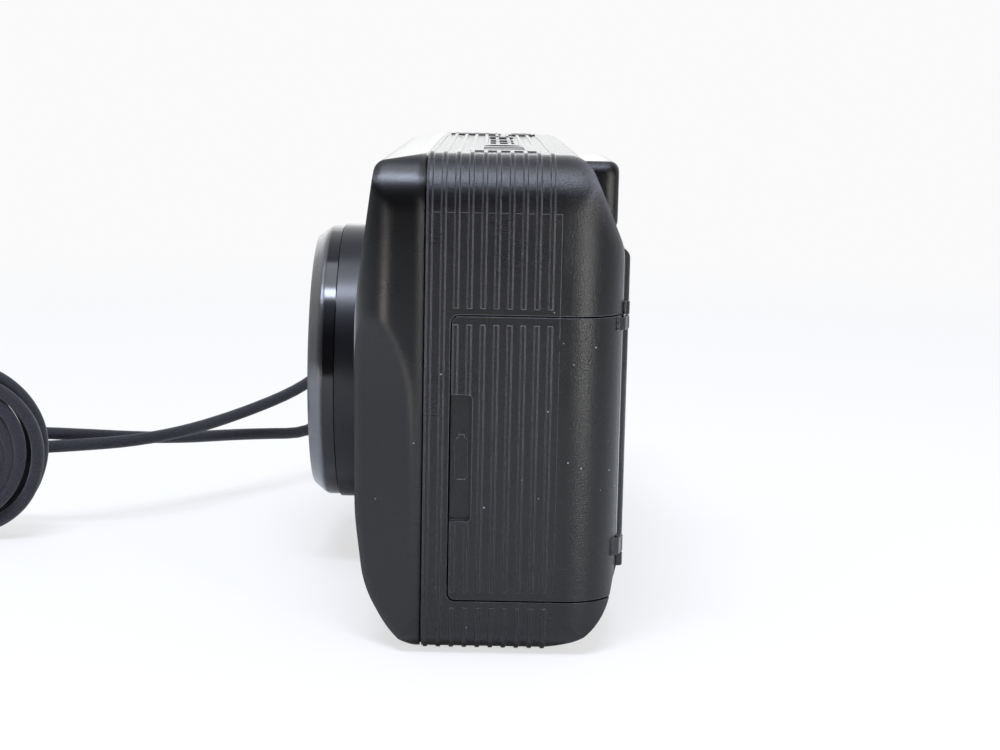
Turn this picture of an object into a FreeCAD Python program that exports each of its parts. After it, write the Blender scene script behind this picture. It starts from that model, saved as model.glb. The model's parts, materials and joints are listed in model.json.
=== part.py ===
import FreeCAD, Part
import math
import os

# Compact zoom film camera with a neck cord, as separate pieces.
# Millimetres, +Z up, the lens looks along -Y, and the user's left end is +X.
# The origin is the mouth of the tripod socket, on the plane that the camera stands on.

V = FreeCAD.Vector

# Overall size
WIDTH = 126.0
HEIGHT = 74.0
FRONT_TOP_Y = -16.3
FRONT_TOP_DROP = 1.25
FRONT_Y = -19.35
FRONT_LOW_Y = -17.6
FRONT_LOW_Z = 9.0
BACK_Y = 20.4
TOP_BACK_Y = 14.3
SHOULDER_DROP = 14.0
LOW_BACK_Y = 18.9
LOW_BACK_Z = 6.2
HEEL_Y = 15.2
HEEL_Z = 2.3
TOE_Y = -13.4
TOE_Z = 2.6
PARTING_Y = -8.75
WALL = 1.8
END_TOP_R = 8.0
END_BOTTOM_R = 5.0
PLAN_FRONT_R = 6.0
PLAN_BACK_R = 8.0

# Ribs round the middle shell
RIB_COUNT = 10
RIB_PITCH = 1.95
RIB_FIRST_Y = -8.2
RIB_BASE = 0.84
RIB_CREST = 0.54
RIB_HEIGHT = 0.22

# Sculpted front corners
SCULPT_LINE = [(-10.3, -10.0), (-10.3, 10.0), (-10.4, 28.7), (-10.7, 35.4), (-11.0, 39.2), (-11.7, 42.4),
               (-12.8, 45.4), (-14.3, 48.6), (-16.0, 51.4), (-18.2, 54.6), (-21.5, 58.5)]
SCULPT_LEAN = 0.66

# Clearances
SEAM_GAP = 0.25
SEAM_DEPTH = 0.4
FIT_GAP = 0.1
PIN_CLEARANCE = 0.05
SLIDE_GAP = 0.2

# Lens
LENS_X = -3.0
LENS_Z = HEIGHT / 2 - 2.9
COLLAR_R = 24.5
COLLAR_BORE_R = 22.9
COLLAR_FRONT_Y = -25.2
COLLAR_FLANGE_R = 27.0
COLLAR_FLANGE_T = 1.4
RING_R = 24.15
RING_LENGTH = 2.1
BEZEL_LENGTH = 2.6
BEZEL_TAPER = 1.9
BARREL_WALL = 1.9
BARREL_TRAVEL = 11.0
BLADE_PIVOT_X = 13.5
BLADE_OPENING_R = 8.8
BLADE_T = 0.5
BLADE_SPACE_R = 21.6

# Film path
GATE_WIDTH = 36.0
GATE_HEIGHT = 24.0
FILM_Y = 15.2
CHASSIS_FRONT_Y = -9.0
CHASSIS_LOW_Z = 8.0
CHASSIS_HIGH_Z = HEIGHT - 14.0
CHASSIS_LEFT_X = WIDTH / 2 - 19.8
CHASSIS_RIGHT_X = 17.0 - WIDTH / 2
CARTRIDGE_X = WIDTH / 2 - 33.7
CARTRIDGE_Y = 2.4
CARTRIDGE_R = 12.8
CARTRIDGE_LOW_Z = 10.0
CARTRIDGE_HIGH_Z = HEIGHT - 15.6
SPOOL_X = 29.5 - WIDTH / 2
SPOOL_Y = 3.0
SPOOL_R = 7.0
SPOOL_CHAMBER_R = 11.3
SPOOL_LOW_Z = 12.0
SPOOL_HIGH_Z = HEIGHT - 17.0

# Film drive gears
GEAR_MODULE = 0.75
SPOOL_TEETH = 24
IDLER_TEETH = 14
PINION_TEETH = 10
GEAR_LOW_Z = 4.0
GEAR_T = 2.0
MOTOR_X = 8.5 - WIDTH / 2
MOTOR_Y = 3.0
MOTOR_R = 5.0
MOTOR_LENGTH = 16.0

# Battery bay and door
DOOR_FREE_Y = -4.8
DOOR_LOW_Z = 8.5
DOOR_HIGH_Z = HEIGHT - 23.35
DOOR_BACK_X = WIDTH / 2 - 5.7
DOOR_WALL = 1.3
DOOR_CORNER_R = 1.0
DOOR_HINGE_X = WIDTH / 2 - 7.6
DOOR_HINGE_Y = BACK_Y + 0.05
KNUCKLE_R = 0.85
DOOR_PIN_R = 0.35
KNUCKLE_LENGTH = 1.9
NOTCH_Y = -1.65
NOTCH_LOW_Z = 20.4
NOTCH_HIGH_Z = 39.2
NOTCH_DEPTH = 0.8
RIB_END_GAP = 1.2
CELL_X = WIDTH / 2 - 10.6
CELL_Y = 5.5
CELL_R = 8.5
CELL_LENGTH = DOOR_HIGH_Z - 16.15
CELL_LOW_Z = 12.0

# Back cover
COVER_LEFT_X = WIDTH / 2 - 12.9
COVER_RIGHT_X = 9.6 - WIDTH / 2
COVER_LOW_Z = 5.5
COVER_HIGH_Z = HEIGHT - 14.1
COVER_OUT_Y = 21.7
COVER_RIM_Y = 17.6
COVER_SKIN = 2.0
COVER_TAPER_Z = 14.5
COVER_TAPER_Y = 19.6
COVER_HINGE_X = 7.8 - WIDTH / 2
COVER_HINGE_Y = 19.6
COVER_PIN_R = 0.8
COVER_KNUCKLE_R = 1.6
LATCH_X = WIDTH / 2 - 17.0
LATCH_LOW_Z = 27.0
LATCH_LENGTH = 10.0
LATCH_TRAVEL = 3.0

# Top and bottom fittings
PAD_FRONT_X = WIDTH / 2 - 14.0
PAD_BACK_X = WIDTH / 2 - 45.0
FUNCTION_X = WIDTH / 2 - 36.3
BUTTON_Y = 2.3
FUNCTION_R = 2.4
FUNCTION_WELL_R = 3.15
SMALL_BUTTON_R = 2.0
FLASH_BUTTON_X = 8.0
TIMER_BUTTON_X = -4.0
BUTTON_TRAVEL = 0.7
KEEPER_DROP = 0.7
SHUTTER_X = 19.0 - WIDTH / 2
SHUTTER_Y = -2.6
SHUTTER_R = 4.9
SHUTTER_TRAVEL = 1.2
ROCKER_Y = 6.5
ROCKER_LENGTH = 12.0
ROCKER_WIDTH = 4.4
POWER_X = SHUTTER_X + 22.0
POWER_LENGTH = 7.0
POWER_WIDTH = 4.0
POWER_TRAVEL = 4.0
ROCKER_PIVOT_Z = HEIGHT - 3.8
REWIND_X = -20.0
REWIND_Y = 6.0
REWIND_R = 1.2
TRIPOD_R = 2.6
TRIPOD_DEPTH = 5.0
TRIPOD_BUSH_R = 5.0
SCREW_HEAD_R = 1.7
SCREW_SHANK_R = 0.8

# Windows in the front and the viewfinder
WINDOW_Z = HEIGHT - 8.4
FINDER_X = 15.0
FINDER_WIDTH = 18.0
FINDER_HEIGHT = 8.6
EYEPIECE_LEFT_X = FINDER_X + 15.0
EYEPIECE_RIGHT_X = FINDER_X - 15.0
EYEPIECE_LOW_Z = HEIGHT - 13.2
EYEPIECE_HIGH_Z = HEIGHT - 2.1
EYEPIECE_BACK_Y = 21.05
EYEPIECE_ROUND = 1.5
FLASH_X = WIDTH / 2 - 17.0
FLASH_WIDTH = 23.0
FLASH_HEIGHT = 9.0
FOCUS_X = -13.0
FOCUS_WIDTH = 20.0
FOCUS_HEIGHT = 7.0
SENSOR_X = 32.0 - WIDTH / 2
LAMP_X = 24.0 - WIDTH / 2
PANE_T = 1.2

# Neck cord
LUG_X = 1.7 - WIDTH / 2
LUG_Y = -1.0
LUG_R = 0.9
LUG_LOW_Z = 28.0
LUG_HIGH_Z = 38.0
POCKET_FLOOR_X = 5.6 - WIDTH / 2
POCKET_HALF = 4.4
CORD_D = 2.3
LOOP_D = 1.0
FERRULE_X = -3.6 - WIDTH / 2
FERRULE_R = 2.9
FERRULE_BACK_Y = -11.0
FERRULE_FRONT_Y = -18.0
FERRULE_Z = 30.0
STRAND_OFFSET = 1.4
HANK_X = -2.0
HANK_Y = -95.2
HANK_Z = 16.85
HANK_R = 11.3
HANK_TUBE_R = 4.3
HANK_TURNS = 8.5
HANK_SLOTS = 9
HANK_TWISTS = 2
HANK_START_DEG = -70.0
HANK_LIFT = 2.8
HANK_LIFT_TURNS = 0.3

HALF = WIDTH / 2 - RIB_HEIGHT
SHELL_TOP = HEIGHT - RIB_HEIGHT
SHELL_LOW = RIB_HEIGHT
FLOOR_Z = SHELL_LOW + WALL
CEILING_Z = SHELL_TOP - WALL
RING_FRONT_Y = COLLAR_FRONT_Y - RING_LENGTH
BEZEL_FRONT_Y = RING_FRONT_Y - BEZEL_LENGTH
BARREL_R = COLLAR_BORE_R - FIT_GAP


def box(x0, x1, y0, y1, z0, z1):
    return Part.makeBox(x1 - x0, y1 - y0, z1 - z0, V(x0, y0, z0))


def rod(radius, start, end):
    a, b = V(*start), V(*end)
    return Part.makeCylinder(radius, (b - a).Length, a, b - a)


def tube(outer, inner, start, end):
    return rod(outer, start, end).cut(rod(inner, start, end))


def corner_points(corners, inset):
    """Moves the sides of a convex outline inwards; corners are (u, v, radius), anticlockwise or clockwise."""
    count = len(corners)
    area = sum(corners[i][0] * corners[(i + 1) % count][1] - corners[(i + 1) % count][0] * corners[i][1]
               for i in range(count))
    side = 1.0 if area > 0 else -1.0
    moved = []
    for i in range(count):
        a, b, c = corners[i - 1], corners[i], corners[(i + 1) % count]
        before = unit(b[0] - a[0], b[1] - a[1])
        after = unit(c[0] - b[0], c[1] - b[1])
        n1 = (-before[1] * side, before[0] * side)
        n2 = (-after[1] * side, after[0] * side)
        scale = inset / (1 + n1[0] * n2[0] + n1[1] * n2[1])
        moved.append((b[0] + (n1[0] + n2[0]) * scale, b[1] + (n1[1] + n2[1]) * scale,
                      max(b[2] - inset, 0.25)))
    return moved


def unit(u, v):
    length = math.hypot(u, v)
    return u / length, v / length


def rounded_wire(corners, place, inset=0.0):
    """A closed wire through rounded corners. place turns (u, v) into a point in space."""
    corners = corner_points(corners, inset)
    count = len(corners)
    arcs = []
    for i in range(count):
        a, b, c = corners[i - 1], corners[i], corners[(i + 1) % count]
        before = unit(b[0] - a[0], b[1] - a[1])
        after = unit(c[0] - b[0], c[1] - b[1])
        turn = math.acos(max(-1.0, min(1.0, before[0] * after[0] + before[1] * after[1])))
        reach = b[2] * math.tan(turn / 2)
        start = (b[0] - before[0] * reach, b[1] - before[1] * reach)
        end = (b[0] + after[0] * reach, b[1] + after[1] * reach)
        bisector = unit(after[0] - before[0], after[1] - before[1])
        sag = b[2] / math.cos(turn / 2) - b[2]
        middle = (b[0] + bisector[0] * sag, b[1] + bisector[1] * sag)
        arcs.append((start, middle, end))
    edges = []
    for i in range(count):
        start, middle, end = arcs[i]
        edges.append(Part.Arc(place(*start), place(*middle), place(*end)).toShape())
        following = arcs[(i + 1) % count][0]
        if math.hypot(following[0] - end[0], following[1] - end[1]) > 1e-6:
            edges.append(Part.makeLine(place(*end), place(*following)))
    return Part.Wire(edges)


def rect(u0, u1, v0, v1, r):
    return [(u0, v0, r), (u1, v0, r), (u1, v1, r), (u0, v1, r)]


def plate_x(corners, x0, x1, inset=0.0):
    wire = rounded_wire(corners, lambda u, v: V(x0, u, v), inset)
    return Part.Face(wire).extrude(V(x1 - x0, 0, 0))


def plate_y(corners, y0, y1, inset=0.0):
    wire = rounded_wire(corners, lambda u, v: V(u, y0, v), inset)
    return Part.Face(wire).extrude(V(0, y1 - y0, 0))


def plate_z(corners, z0, z1, inset=0.0):
    wire = rounded_wire(corners, lambda u, v: V(u, v, z0), inset)
    return Part.Face(wire).extrude(V(0, 0, z1 - z0))


def side_corners():
    return [
        (-9.2, SHELL_LOW, 0.3),
        (TOE_Y, TOE_Z, 12.0),
        (FRONT_LOW_Y, FRONT_LOW_Z, 14.0),
        (-19.1, 20.0, 40.0),
        (FRONT_Y, HEIGHT - 24.0, 60.0),
        (FRONT_TOP_Y, SHELL_TOP - FRONT_TOP_DROP, 1.8),
        (PARTING_Y + 0.2, SHELL_TOP, 1.0),
        (TOP_BACK_Y, SHELL_TOP, 4.0),
        (BACK_Y, HEIGHT - SHOULDER_DROP, 8.0),
        (BACK_Y, 14.0, 40.0),
        (LOW_BACK_Y, LOW_BACK_Z, 9.0),
        (HEEL_Y, HEEL_Z, 10.0),
        (8.5, SHELL_LOW, 11.0),
    ]


def end_corners():
    return [
        (-HALF, SHELL_LOW, END_BOTTOM_R),
        (HALF, SHELL_LOW, END_BOTTOM_R),
        (HALF, SHELL_TOP, END_TOP_R),
        (-HALF, SHELL_TOP, END_TOP_R),
    ]


def plan_corners():
    return [
        (-HALF, FRONT_Y, PLAN_FRONT_R),
        (HALF, FRONT_Y, PLAN_FRONT_R),
        (HALF, BACK_Y, PLAN_BACK_R),
        (-HALF, BACK_Y, PLAN_BACK_R),
    ]


def sculpt_wedge(side, inset):
    """What is cut off a front corner below the flash housing, along an S-shaped line. side is +1 or -1.
    The cut runs inwards by SCULPT_LEAN for each millimetre that it runs forwards."""
    slope = math.hypot(1.0, SCULPT_LEAN)
    out_x = side * (HALF + 2.0 - inset / slope)
    shift = 2.0 / SCULPT_LEAN + inset * SCULPT_LEAN / slope
    line = [V(out_x, y + shift, z + 0.25 * inset) for y, z in SCULPT_LINE]
    curve = Part.BSplineCurve()
    curve.interpolate(line)
    first, last = line[0], line[-1]
    far = [last, V(out_x, -60, last.z), V(out_x, -60, first.z), first]
    wire = Part.Wire([curve.toShape()] + [Part.makeLine(a, b) for a, b in zip(far, far[1:])])
    return Part.Face(wire).extrude(V(-side * 24.0 * SCULPT_LEAN, -24.0, 0))


def blank(inset=0.0):
    """The closed outer form of both shells, without ribs, moved inwards by inset."""
    body = plate_x(side_corners(), -HALF - 1, HALF + 1, inset)
    body = body.common(plate_y(end_corners(), -60, 60, inset))
    body = body.common(plate_z(plan_corners(), -10, 90, inset))
    for side in (1, -1):
        body = body.cut(sculpt_wedge(side, inset))
    return body


def rib_centre(i):
    return RIB_FIRST_Y + RIB_PITCH * i


def rib_plates():
    """One full plate for each rib; the cavity is cut out of them later."""
    plates = []
    sunk = 0.06
    for i in range(RIB_COUNT):
        centre = rib_centre(i)
        wires = []
        for offset, inset in ((-RIB_BASE / 2, sunk), (-RIB_CREST / 2, -RIB_HEIGHT),
                              (RIB_CREST / 2, -RIB_HEIGHT), (RIB_BASE / 2, sunk)):
            y = centre + offset
            wires.append(rounded_wire(end_corners(), lambda u, v, y=y: V(u, y, v), inset))
        plate = Part.makeLoft(wires, True, True)
        if centre > DOOR_FREE_Y:
            end = RIB_END_GAP
            for z in (DOOR_LOW_Z, DOOR_HIGH_Z):
                plate = plate.cut(box(HALF - END_BOTTOM_R, HALF + 2, centre - 1, centre + 1, z - end, z + end))
        plates.append(plate)
    return plates


def prism(points, z0, z1):
    corners = [V(x, y, z0) for x, y in points]
    return Part.Face(Part.makePolygon(corners + corners[:1])).extrude(V(0, 0, z1 - z0))


def door_knuckle(low, high, web):
    """A knuckle on the door's hinge axis, joined to its shell or door by a web."""
    return rod(KNUCKLE_R, (DOOR_HINGE_X, DOOR_HINGE_Y, low), (DOOR_HINGE_X, DOOR_HINGE_Y, high)).fuse(
        prism(web, low, high))


def cover_knuckle(low, high, arm_x):
    """A knuckle on the back cover's hinge axis with an arm that reaches arm_x."""
    barrel = rod(COVER_KNUCKLE_R, (COVER_HINGE_X, COVER_HINGE_Y, low), (COVER_HINGE_X, COVER_HINGE_Y, high))
    arm = box(min(COVER_HINGE_X, arm_x), max(COVER_HINGE_X, arm_x),
              COVER_HINGE_Y - COVER_KNUCKLE_R, COVER_HINGE_Y + 0.4, low, high)
    return barrel.fuse(arm)


def door_web():
    """The leaf that carries a door knuckle over the edge of the shell."""
    x, y, edge = DOOR_HINGE_X, DOOR_HINGE_Y, DOOR_BACK_X
    return ((x, y + KNUCKLE_R - 0.02), (edge + 0.5, y + 0.1), (edge + 1.6, y - 0.9), (edge + 1.2, y - 2.0),
            (edge + 0.1, y - 1.6), (edge + 0.1, y - 0.75), (x, y - 0.1))


def door_fixed_web():
    """What joins a fixed knuckle to the shell behind it."""
    x, y = DOOR_HINGE_X, DOOR_HINGE_Y
    return ((x - 2.2, y - 1.3), (x + 0.8, y - 1.2), (x + 0.8, y), (x, y + 0.8), (x - 1.2, y + 0.3),
            (x - 2.2, y - 0.2))


LOW_KNUCKLE_Z = DOOR_LOW_Z + 6.1
DOOR_KNUCKLES = ((DOOR_HIGH_Z - SEAM_GAP - KNUCKLE_LENGTH, DOOR_HIGH_Z - SEAM_GAP),
                 (LOW_KNUCKLE_Z, LOW_KNUCKLE_Z + KNUCKLE_LENGTH + 0.5))
DOOR_FIXED_KNUCKLES = ((DOOR_HIGH_Z, DOOR_HIGH_Z + KNUCKLE_LENGTH),
                       (LOW_KNUCKLE_Z - SEAM_GAP - KNUCKLE_LENGTH, LOW_KNUCKLE_Z - SEAM_GAP))
COVER_KNUCKLES = ((14.3, 28.7), (35.3, COVER_HIGH_Z - 9.2))
COVER_FIXED_KNUCKLES = ((8.0, 14.0), (29.0, 35.0), (COVER_HIGH_Z - 8.9, COVER_HIGH_Z - 2.9))
SCREW_PLACES = ((WIDTH / 2 - 25.0, 11.0), (12.8 - WIDTH / 2, 11.0), (12.0, -5.5), (-18.0, -5.5))


def knuckle_span(i):
    """The lowest and highest point of a door knuckle and its fixed partner."""
    ends = DOOR_KNUCKLES[i] + DOOR_FIXED_KNUCKLES[i]
    return min(ends), max(ends)


def front_shell(outer, inner):
    shell = outer.common(box(-80, 80, -60, PARTING_Y - SEAM_GAP, -10, 90))
    lip = blank(SEAM_DEPTH).common(box(-80, 80, PARTING_Y - SEAM_GAP, PARTING_Y, -10, 90))
    shell = shell.fuse(lip).cut(inner)
    shell = shell.cut(rod(COLLAR_R + FIT_GAP, (LENS_X, -40, LENS_Z), (LENS_X, -12, LENS_Z)))
    for corners in front_openings():
        shell = shell.cut(plate_y(corners, -40, -12))
    shell = shell.cut(rod(1.7, (SENSOR_X, -40, WINDOW_Z), (SENSOR_X, -12, WINDOW_Z)))
    shell = shell.cut(rod(1.7, (LAMP_X, -40, WINDOW_Z), (LAMP_X, -12, WINDOW_Z)))
    return shell


def window_corners(x, width, height, r, grow=0.0):
    return rect(x - width / 2 - grow, x + width / 2 + grow,
                WINDOW_Z - height / 2 - grow, WINDOW_Z + height / 2 + grow, r + grow)


def front_openings():
    return [
        window_corners(FLASH_X, FLASH_WIDTH, FLASH_HEIGHT, 1.5, FIT_GAP),
        window_corners(FINDER_X, FINDER_WIDTH, FINDER_HEIGHT, 1.5, FIT_GAP),
        window_corners(FOCUS_X, FOCUS_WIDTH, FOCUS_HEIGHT, 3.0, FIT_GAP),
    ]


def door_corners(grow=0.0):
    return rect(DOOR_FREE_Y - grow, 40.0, DOOR_LOW_Z - grow, DOOR_HIGH_Z + grow, DOOR_CORNER_R + grow)


def ribbed_outer(outer):
    """The rear part of the outer form with its ribs and the flat pad on top."""
    rear = outer.common(box(-80, 80, PARTING_Y, 60, -10, 90))
    rear = rear.multiFuse(rib_plates())
    pad_low_y = rib_centre(3) - RIB_BASE / 2
    pad_high_y = rib_centre(8) + RIB_BASE / 2
    pad = plate_z(rect(PAD_BACK_X, PAD_FRONT_X, pad_low_y, pad_high_y, 1.2), SHELL_TOP - 0.5, HEIGHT)
    return rear.fuse(pad)


def main_shell(ribbed, inner):
    shell = ribbed.cut(inner)
    thick = box(2.5 - WIDTH / 2, COVER_RIGHT_X - 2 * SEAM_GAP, 14.2, 18.6, 4.0, COVER_HIGH_Z + 1.1).common(inner)
    shell = shell.fuse(thick)
    pocket_wall = box(-HALF + 1, POCKET_FLOOR_X + 1.4, LUG_Y - POCKET_HALF - 1.4, LUG_Y + POCKET_HALF + 1.4,
                      LUG_LOW_Z - 1.4, LUG_HIGH_Z + 1.4)
    shell = shell.fuse(pocket_wall)
    shell = shell.cut(plate_x(rect(LUG_Y - POCKET_HALF, LUG_Y + POCKET_HALF, LUG_LOW_Z, LUG_HIGH_Z, 1.0),
                              -80, POCKET_FLOOR_X))
    shell = shell.cut(rod(LUG_R, (LUG_X, LUG_Y, LUG_LOW_Z - 1.0), (LUG_X, LUG_Y, LUG_HIGH_Z + 1.0)))
    # Battery door opening and its hinge
    shell = shell.cut(plate_x(door_corners(SEAM_GAP), DOOR_BACK_X - SEAM_GAP, 90))
    for i, (low, high) in enumerate(DOOR_KNUCKLES):
        z0, z1 = knuckle_span(i)
        shell = shell.cut(rod(KNUCKLE_R + SEAM_GAP, (DOOR_HINGE_X, DOOR_HINGE_Y, z0 - SEAM_GAP),
                              (DOOR_HINGE_X, DOOR_HINGE_Y, z1 + SEAM_GAP)))
        x0, x1 = DOOR_HINGE_X, DOOR_BACK_X + 1.0
        shell = shell.cut(box(x0, x1, DOOR_HINGE_Y - 0.95, DOOR_HINGE_Y + 3, low - SEAM_GAP, high + SEAM_GAP))
        low, high = DOOR_FIXED_KNUCKLES[i]
        shell = shell.fuse(door_knuckle(low, high, door_fixed_web()))
        shell = shell.cut(rod(DOOR_PIN_R, (DOOR_HINGE_X, DOOR_HINGE_Y, low), (DOOR_HINGE_X, DOOR_HINGE_Y, high)))
    # Back opening, its hinge trench and knuckles
    shell = shell.cut(box(COVER_RIGHT_X - SEAM_GAP, COVER_LEFT_X + SEAM_GAP, 12, 40,
                          COVER_LOW_Z - SEAM_GAP, COVER_HIGH_Z + SEAM_GAP))
    low, high = COVER_FIXED_KNUCKLES[0][0], COVER_FIXED_KNUCKLES[-1][1]
    shell = shell.cut(rod(COVER_KNUCKLE_R + SEAM_GAP, (COVER_HINGE_X, COVER_HINGE_Y, low - SEAM_GAP),
                          (COVER_HINGE_X, COVER_HINGE_Y, high + SEAM_GAP)))
    shell = shell.cut(box(COVER_HINGE_X, COVER_RIGHT_X, COVER_HINGE_Y - COVER_KNUCKLE_R - SEAM_GAP, 40,
                          low - SEAM_GAP, high + SEAM_GAP))
    for z0, z1 in COVER_FIXED_KNUCKLES:
        shell = shell.fuse(cover_knuckle(z0, z1, COVER_HINGE_X - 2.6))
    shell = shell.cut(rod(COVER_PIN_R, (COVER_HINGE_X, COVER_HINGE_Y, low - 0.6),
                          (COVER_HINGE_X, COVER_HINGE_Y, high + 0.6)))
    # Eyepiece, top buttons and the holes in the base
    shell = shell.cut(plate_y(eyepiece_corners(FIT_GAP), 8.0, 40))
    shell = shell.cut(rod(FUNCTION_WELL_R, (FUNCTION_X, BUTTON_Y, SHELL_TOP - 0.55), (FUNCTION_X, BUTTON_Y, HEIGHT + 6)))
    for x, r in button_places():
        shell = shell.cut(rod(r + FIT_GAP, (x, BUTTON_Y, CHASSIS_HIGH_Z), (x, BUTTON_Y, HEIGHT + 6)))
    shell = shell.cut(plate_z(display_corners(FIT_GAP), HEIGHT - 1.6, HEIGHT + 6))
    shell = shell.cut(rod(SHUTTER_R + SLIDE_GAP, (SHUTTER_X, SHUTTER_Y, CHASSIS_HIGH_Z),
                          (SHUTTER_X, SHUTTER_Y, HEIGHT + 6)))
    shell = shell.cut(plate_z(rocker_corners(0.4), CHASSIS_HIGH_Z, HEIGHT + 6))
    shell = shell.cut(plate_z(rect(POWER_X - POWER_LENGTH / 2 - POWER_TRAVEL - SLIDE_GAP,
                                   POWER_X + POWER_LENGTH / 2 + SLIDE_GAP,
                                   BUTTON_Y - POWER_WIDTH / 2 - SLIDE_GAP,
                                   BUTTON_Y + POWER_WIDTH / 2 + SLIDE_GAP, 1.0), CHASSIS_HIGH_Z, HEIGHT + 6))
    shell = shell.cut(rod(TRIPOD_BUSH_R, (0, 0, -1), (0, 0, 8)))
    shell = shell.cut(rod(REWIND_R + FIT_GAP, (REWIND_X, REWIND_Y, -1), (REWIND_X, REWIND_Y, 8)))
    for x, y in SCREW_PLACES:
        shell = shell.cut(rod(SCREW_HEAD_R + FIT_GAP, (x, y, -1), (x, y, SHELL_LOW + 1.0)))
        shell = shell.cut(rod(SCREW_SHANK_R + FIT_GAP, (x, y, -1), (x, y, 8)))
    return shell


def button_places():
    return ((FUNCTION_X, FUNCTION_R), (FLASH_BUTTON_X, SMALL_BUTTON_R), (TIMER_BUTTON_X, SMALL_BUTTON_R))


def display_corners(grow=0.0):
    return rect(PAD_FRONT_X - 16.0 - grow, PAD_FRONT_X - 3.5 + grow, -0.6 - grow, 5.4 + grow, 0.8)


def rocker_corners(grow=0.0):
    return rect(SHUTTER_X - ROCKER_LENGTH / 2 - grow, SHUTTER_X + ROCKER_LENGTH / 2 + grow,
                ROCKER_Y - ROCKER_WIDTH / 2 - grow, ROCKER_Y + ROCKER_WIDTH / 2 + grow, 1.6)


def eyepiece_corners(grow=0.0):
    return rect(EYEPIECE_RIGHT_X - grow, EYEPIECE_LEFT_X + grow,
                EYEPIECE_LOW_Z - grow, EYEPIECE_HIGH_Z + grow, 1.8)


def battery_door(ribbed):
    form = plate_x(door_corners(), DOOR_BACK_X, 90)
    door = ribbed.common(form).cut(blank(DOOR_WALL))
    notch = plate_x(rect(DOOR_FREE_Y - 3, NOTCH_Y, NOTCH_LOW_Z, NOTCH_HIGH_Z, 0.8),
                    HALF - NOTCH_DEPTH, 90)
    door = door.cut(notch)
    for low, high in DOOR_KNUCKLES:
        door = door.fuse(door_knuckle(low, high, door_web()))
        bore = DOOR_PIN_R + PIN_CLEARANCE
        door = door.cut(rod(bore, (DOOR_HINGE_X, DOOR_HINGE_Y, low - 1), (DOOR_HINGE_X, DOOR_HINGE_Y, high + 1)))
    return door


def hinge_pins():
    spans = (knuckle_span(0), knuckle_span(1))
    pins = [rod(DOOR_PIN_R, (DOOR_HINGE_X, DOOR_HINGE_Y, a), (DOOR_HINGE_X, DOOR_HINGE_Y, b)) for a, b in spans]
    low, high = COVER_FIXED_KNUCKLES[0][0], COVER_FIXED_KNUCKLES[-1][1]
    pins.append(rod(COVER_PIN_R, (COVER_HINGE_X, COVER_HINGE_Y, low - 0.5),
                    (COVER_HINGE_X, COVER_HINGE_Y, high + 0.5)))
    return Part.makeCompound(pins)


def battery_holder():
    half = CELL_R + 0.45
    top = CELL_LOW_Z + CELL_LENGTH
    block = box(CHASSIS_LEFT_X + FIT_GAP, WIDTH / 2 - 2.0, CELL_Y - half - 0.9, CELL_Y + half + 0.9, 9.0, top + 3.5)
    block = block.cut(rod(half, (CELL_X, CELL_Y, CELL_LOW_Z - 1.8), (CELL_X, CELL_Y, top + 1.7)))
    block = block.cut(box(CELL_X, WIDTH, CELL_Y - half, CELL_Y + half, CELL_LOW_Z - 1.8, top + 1.7))
    return block.common(blank(DOOR_WALL + 0.35))


def battery_cell():
    top = CELL_LOW_Z + CELL_LENGTH
    cell = rod(CELL_R, (CELL_X, CELL_Y, CELL_LOW_Z), (CELL_X, CELL_Y, top - 1.0))
    cell = cell.fuse(rod(3.2, (CELL_X, CELL_Y, top - 1.0), (CELL_X, CELL_Y, top)))
    return cell


def battery_contacts():
    top = CELL_LOW_Z + CELL_LENGTH
    low = CELL_LOW_Z - 1.8
    upper = box(CELL_X - 3, CELL_X + 3, CELL_Y - 3, CELL_Y + 3, top + 1.3, top + 1.7)
    upper = upper.fuse(box(CELL_X - 1, CELL_X + 1, CELL_Y - 2, CELL_Y + 2, top, top + 1.3))
    lower = box(CELL_X - 4, CELL_X + 4, CELL_Y - 4, CELL_Y + 4, low, low + 0.4)
    lower = lower.fuse(box(CELL_X - 1.5, CELL_X + 1.5, CELL_Y - 2, CELL_Y + 2, low + 0.4, CELL_LOW_Z))
    return Part.makeCompound([upper, lower])


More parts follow.
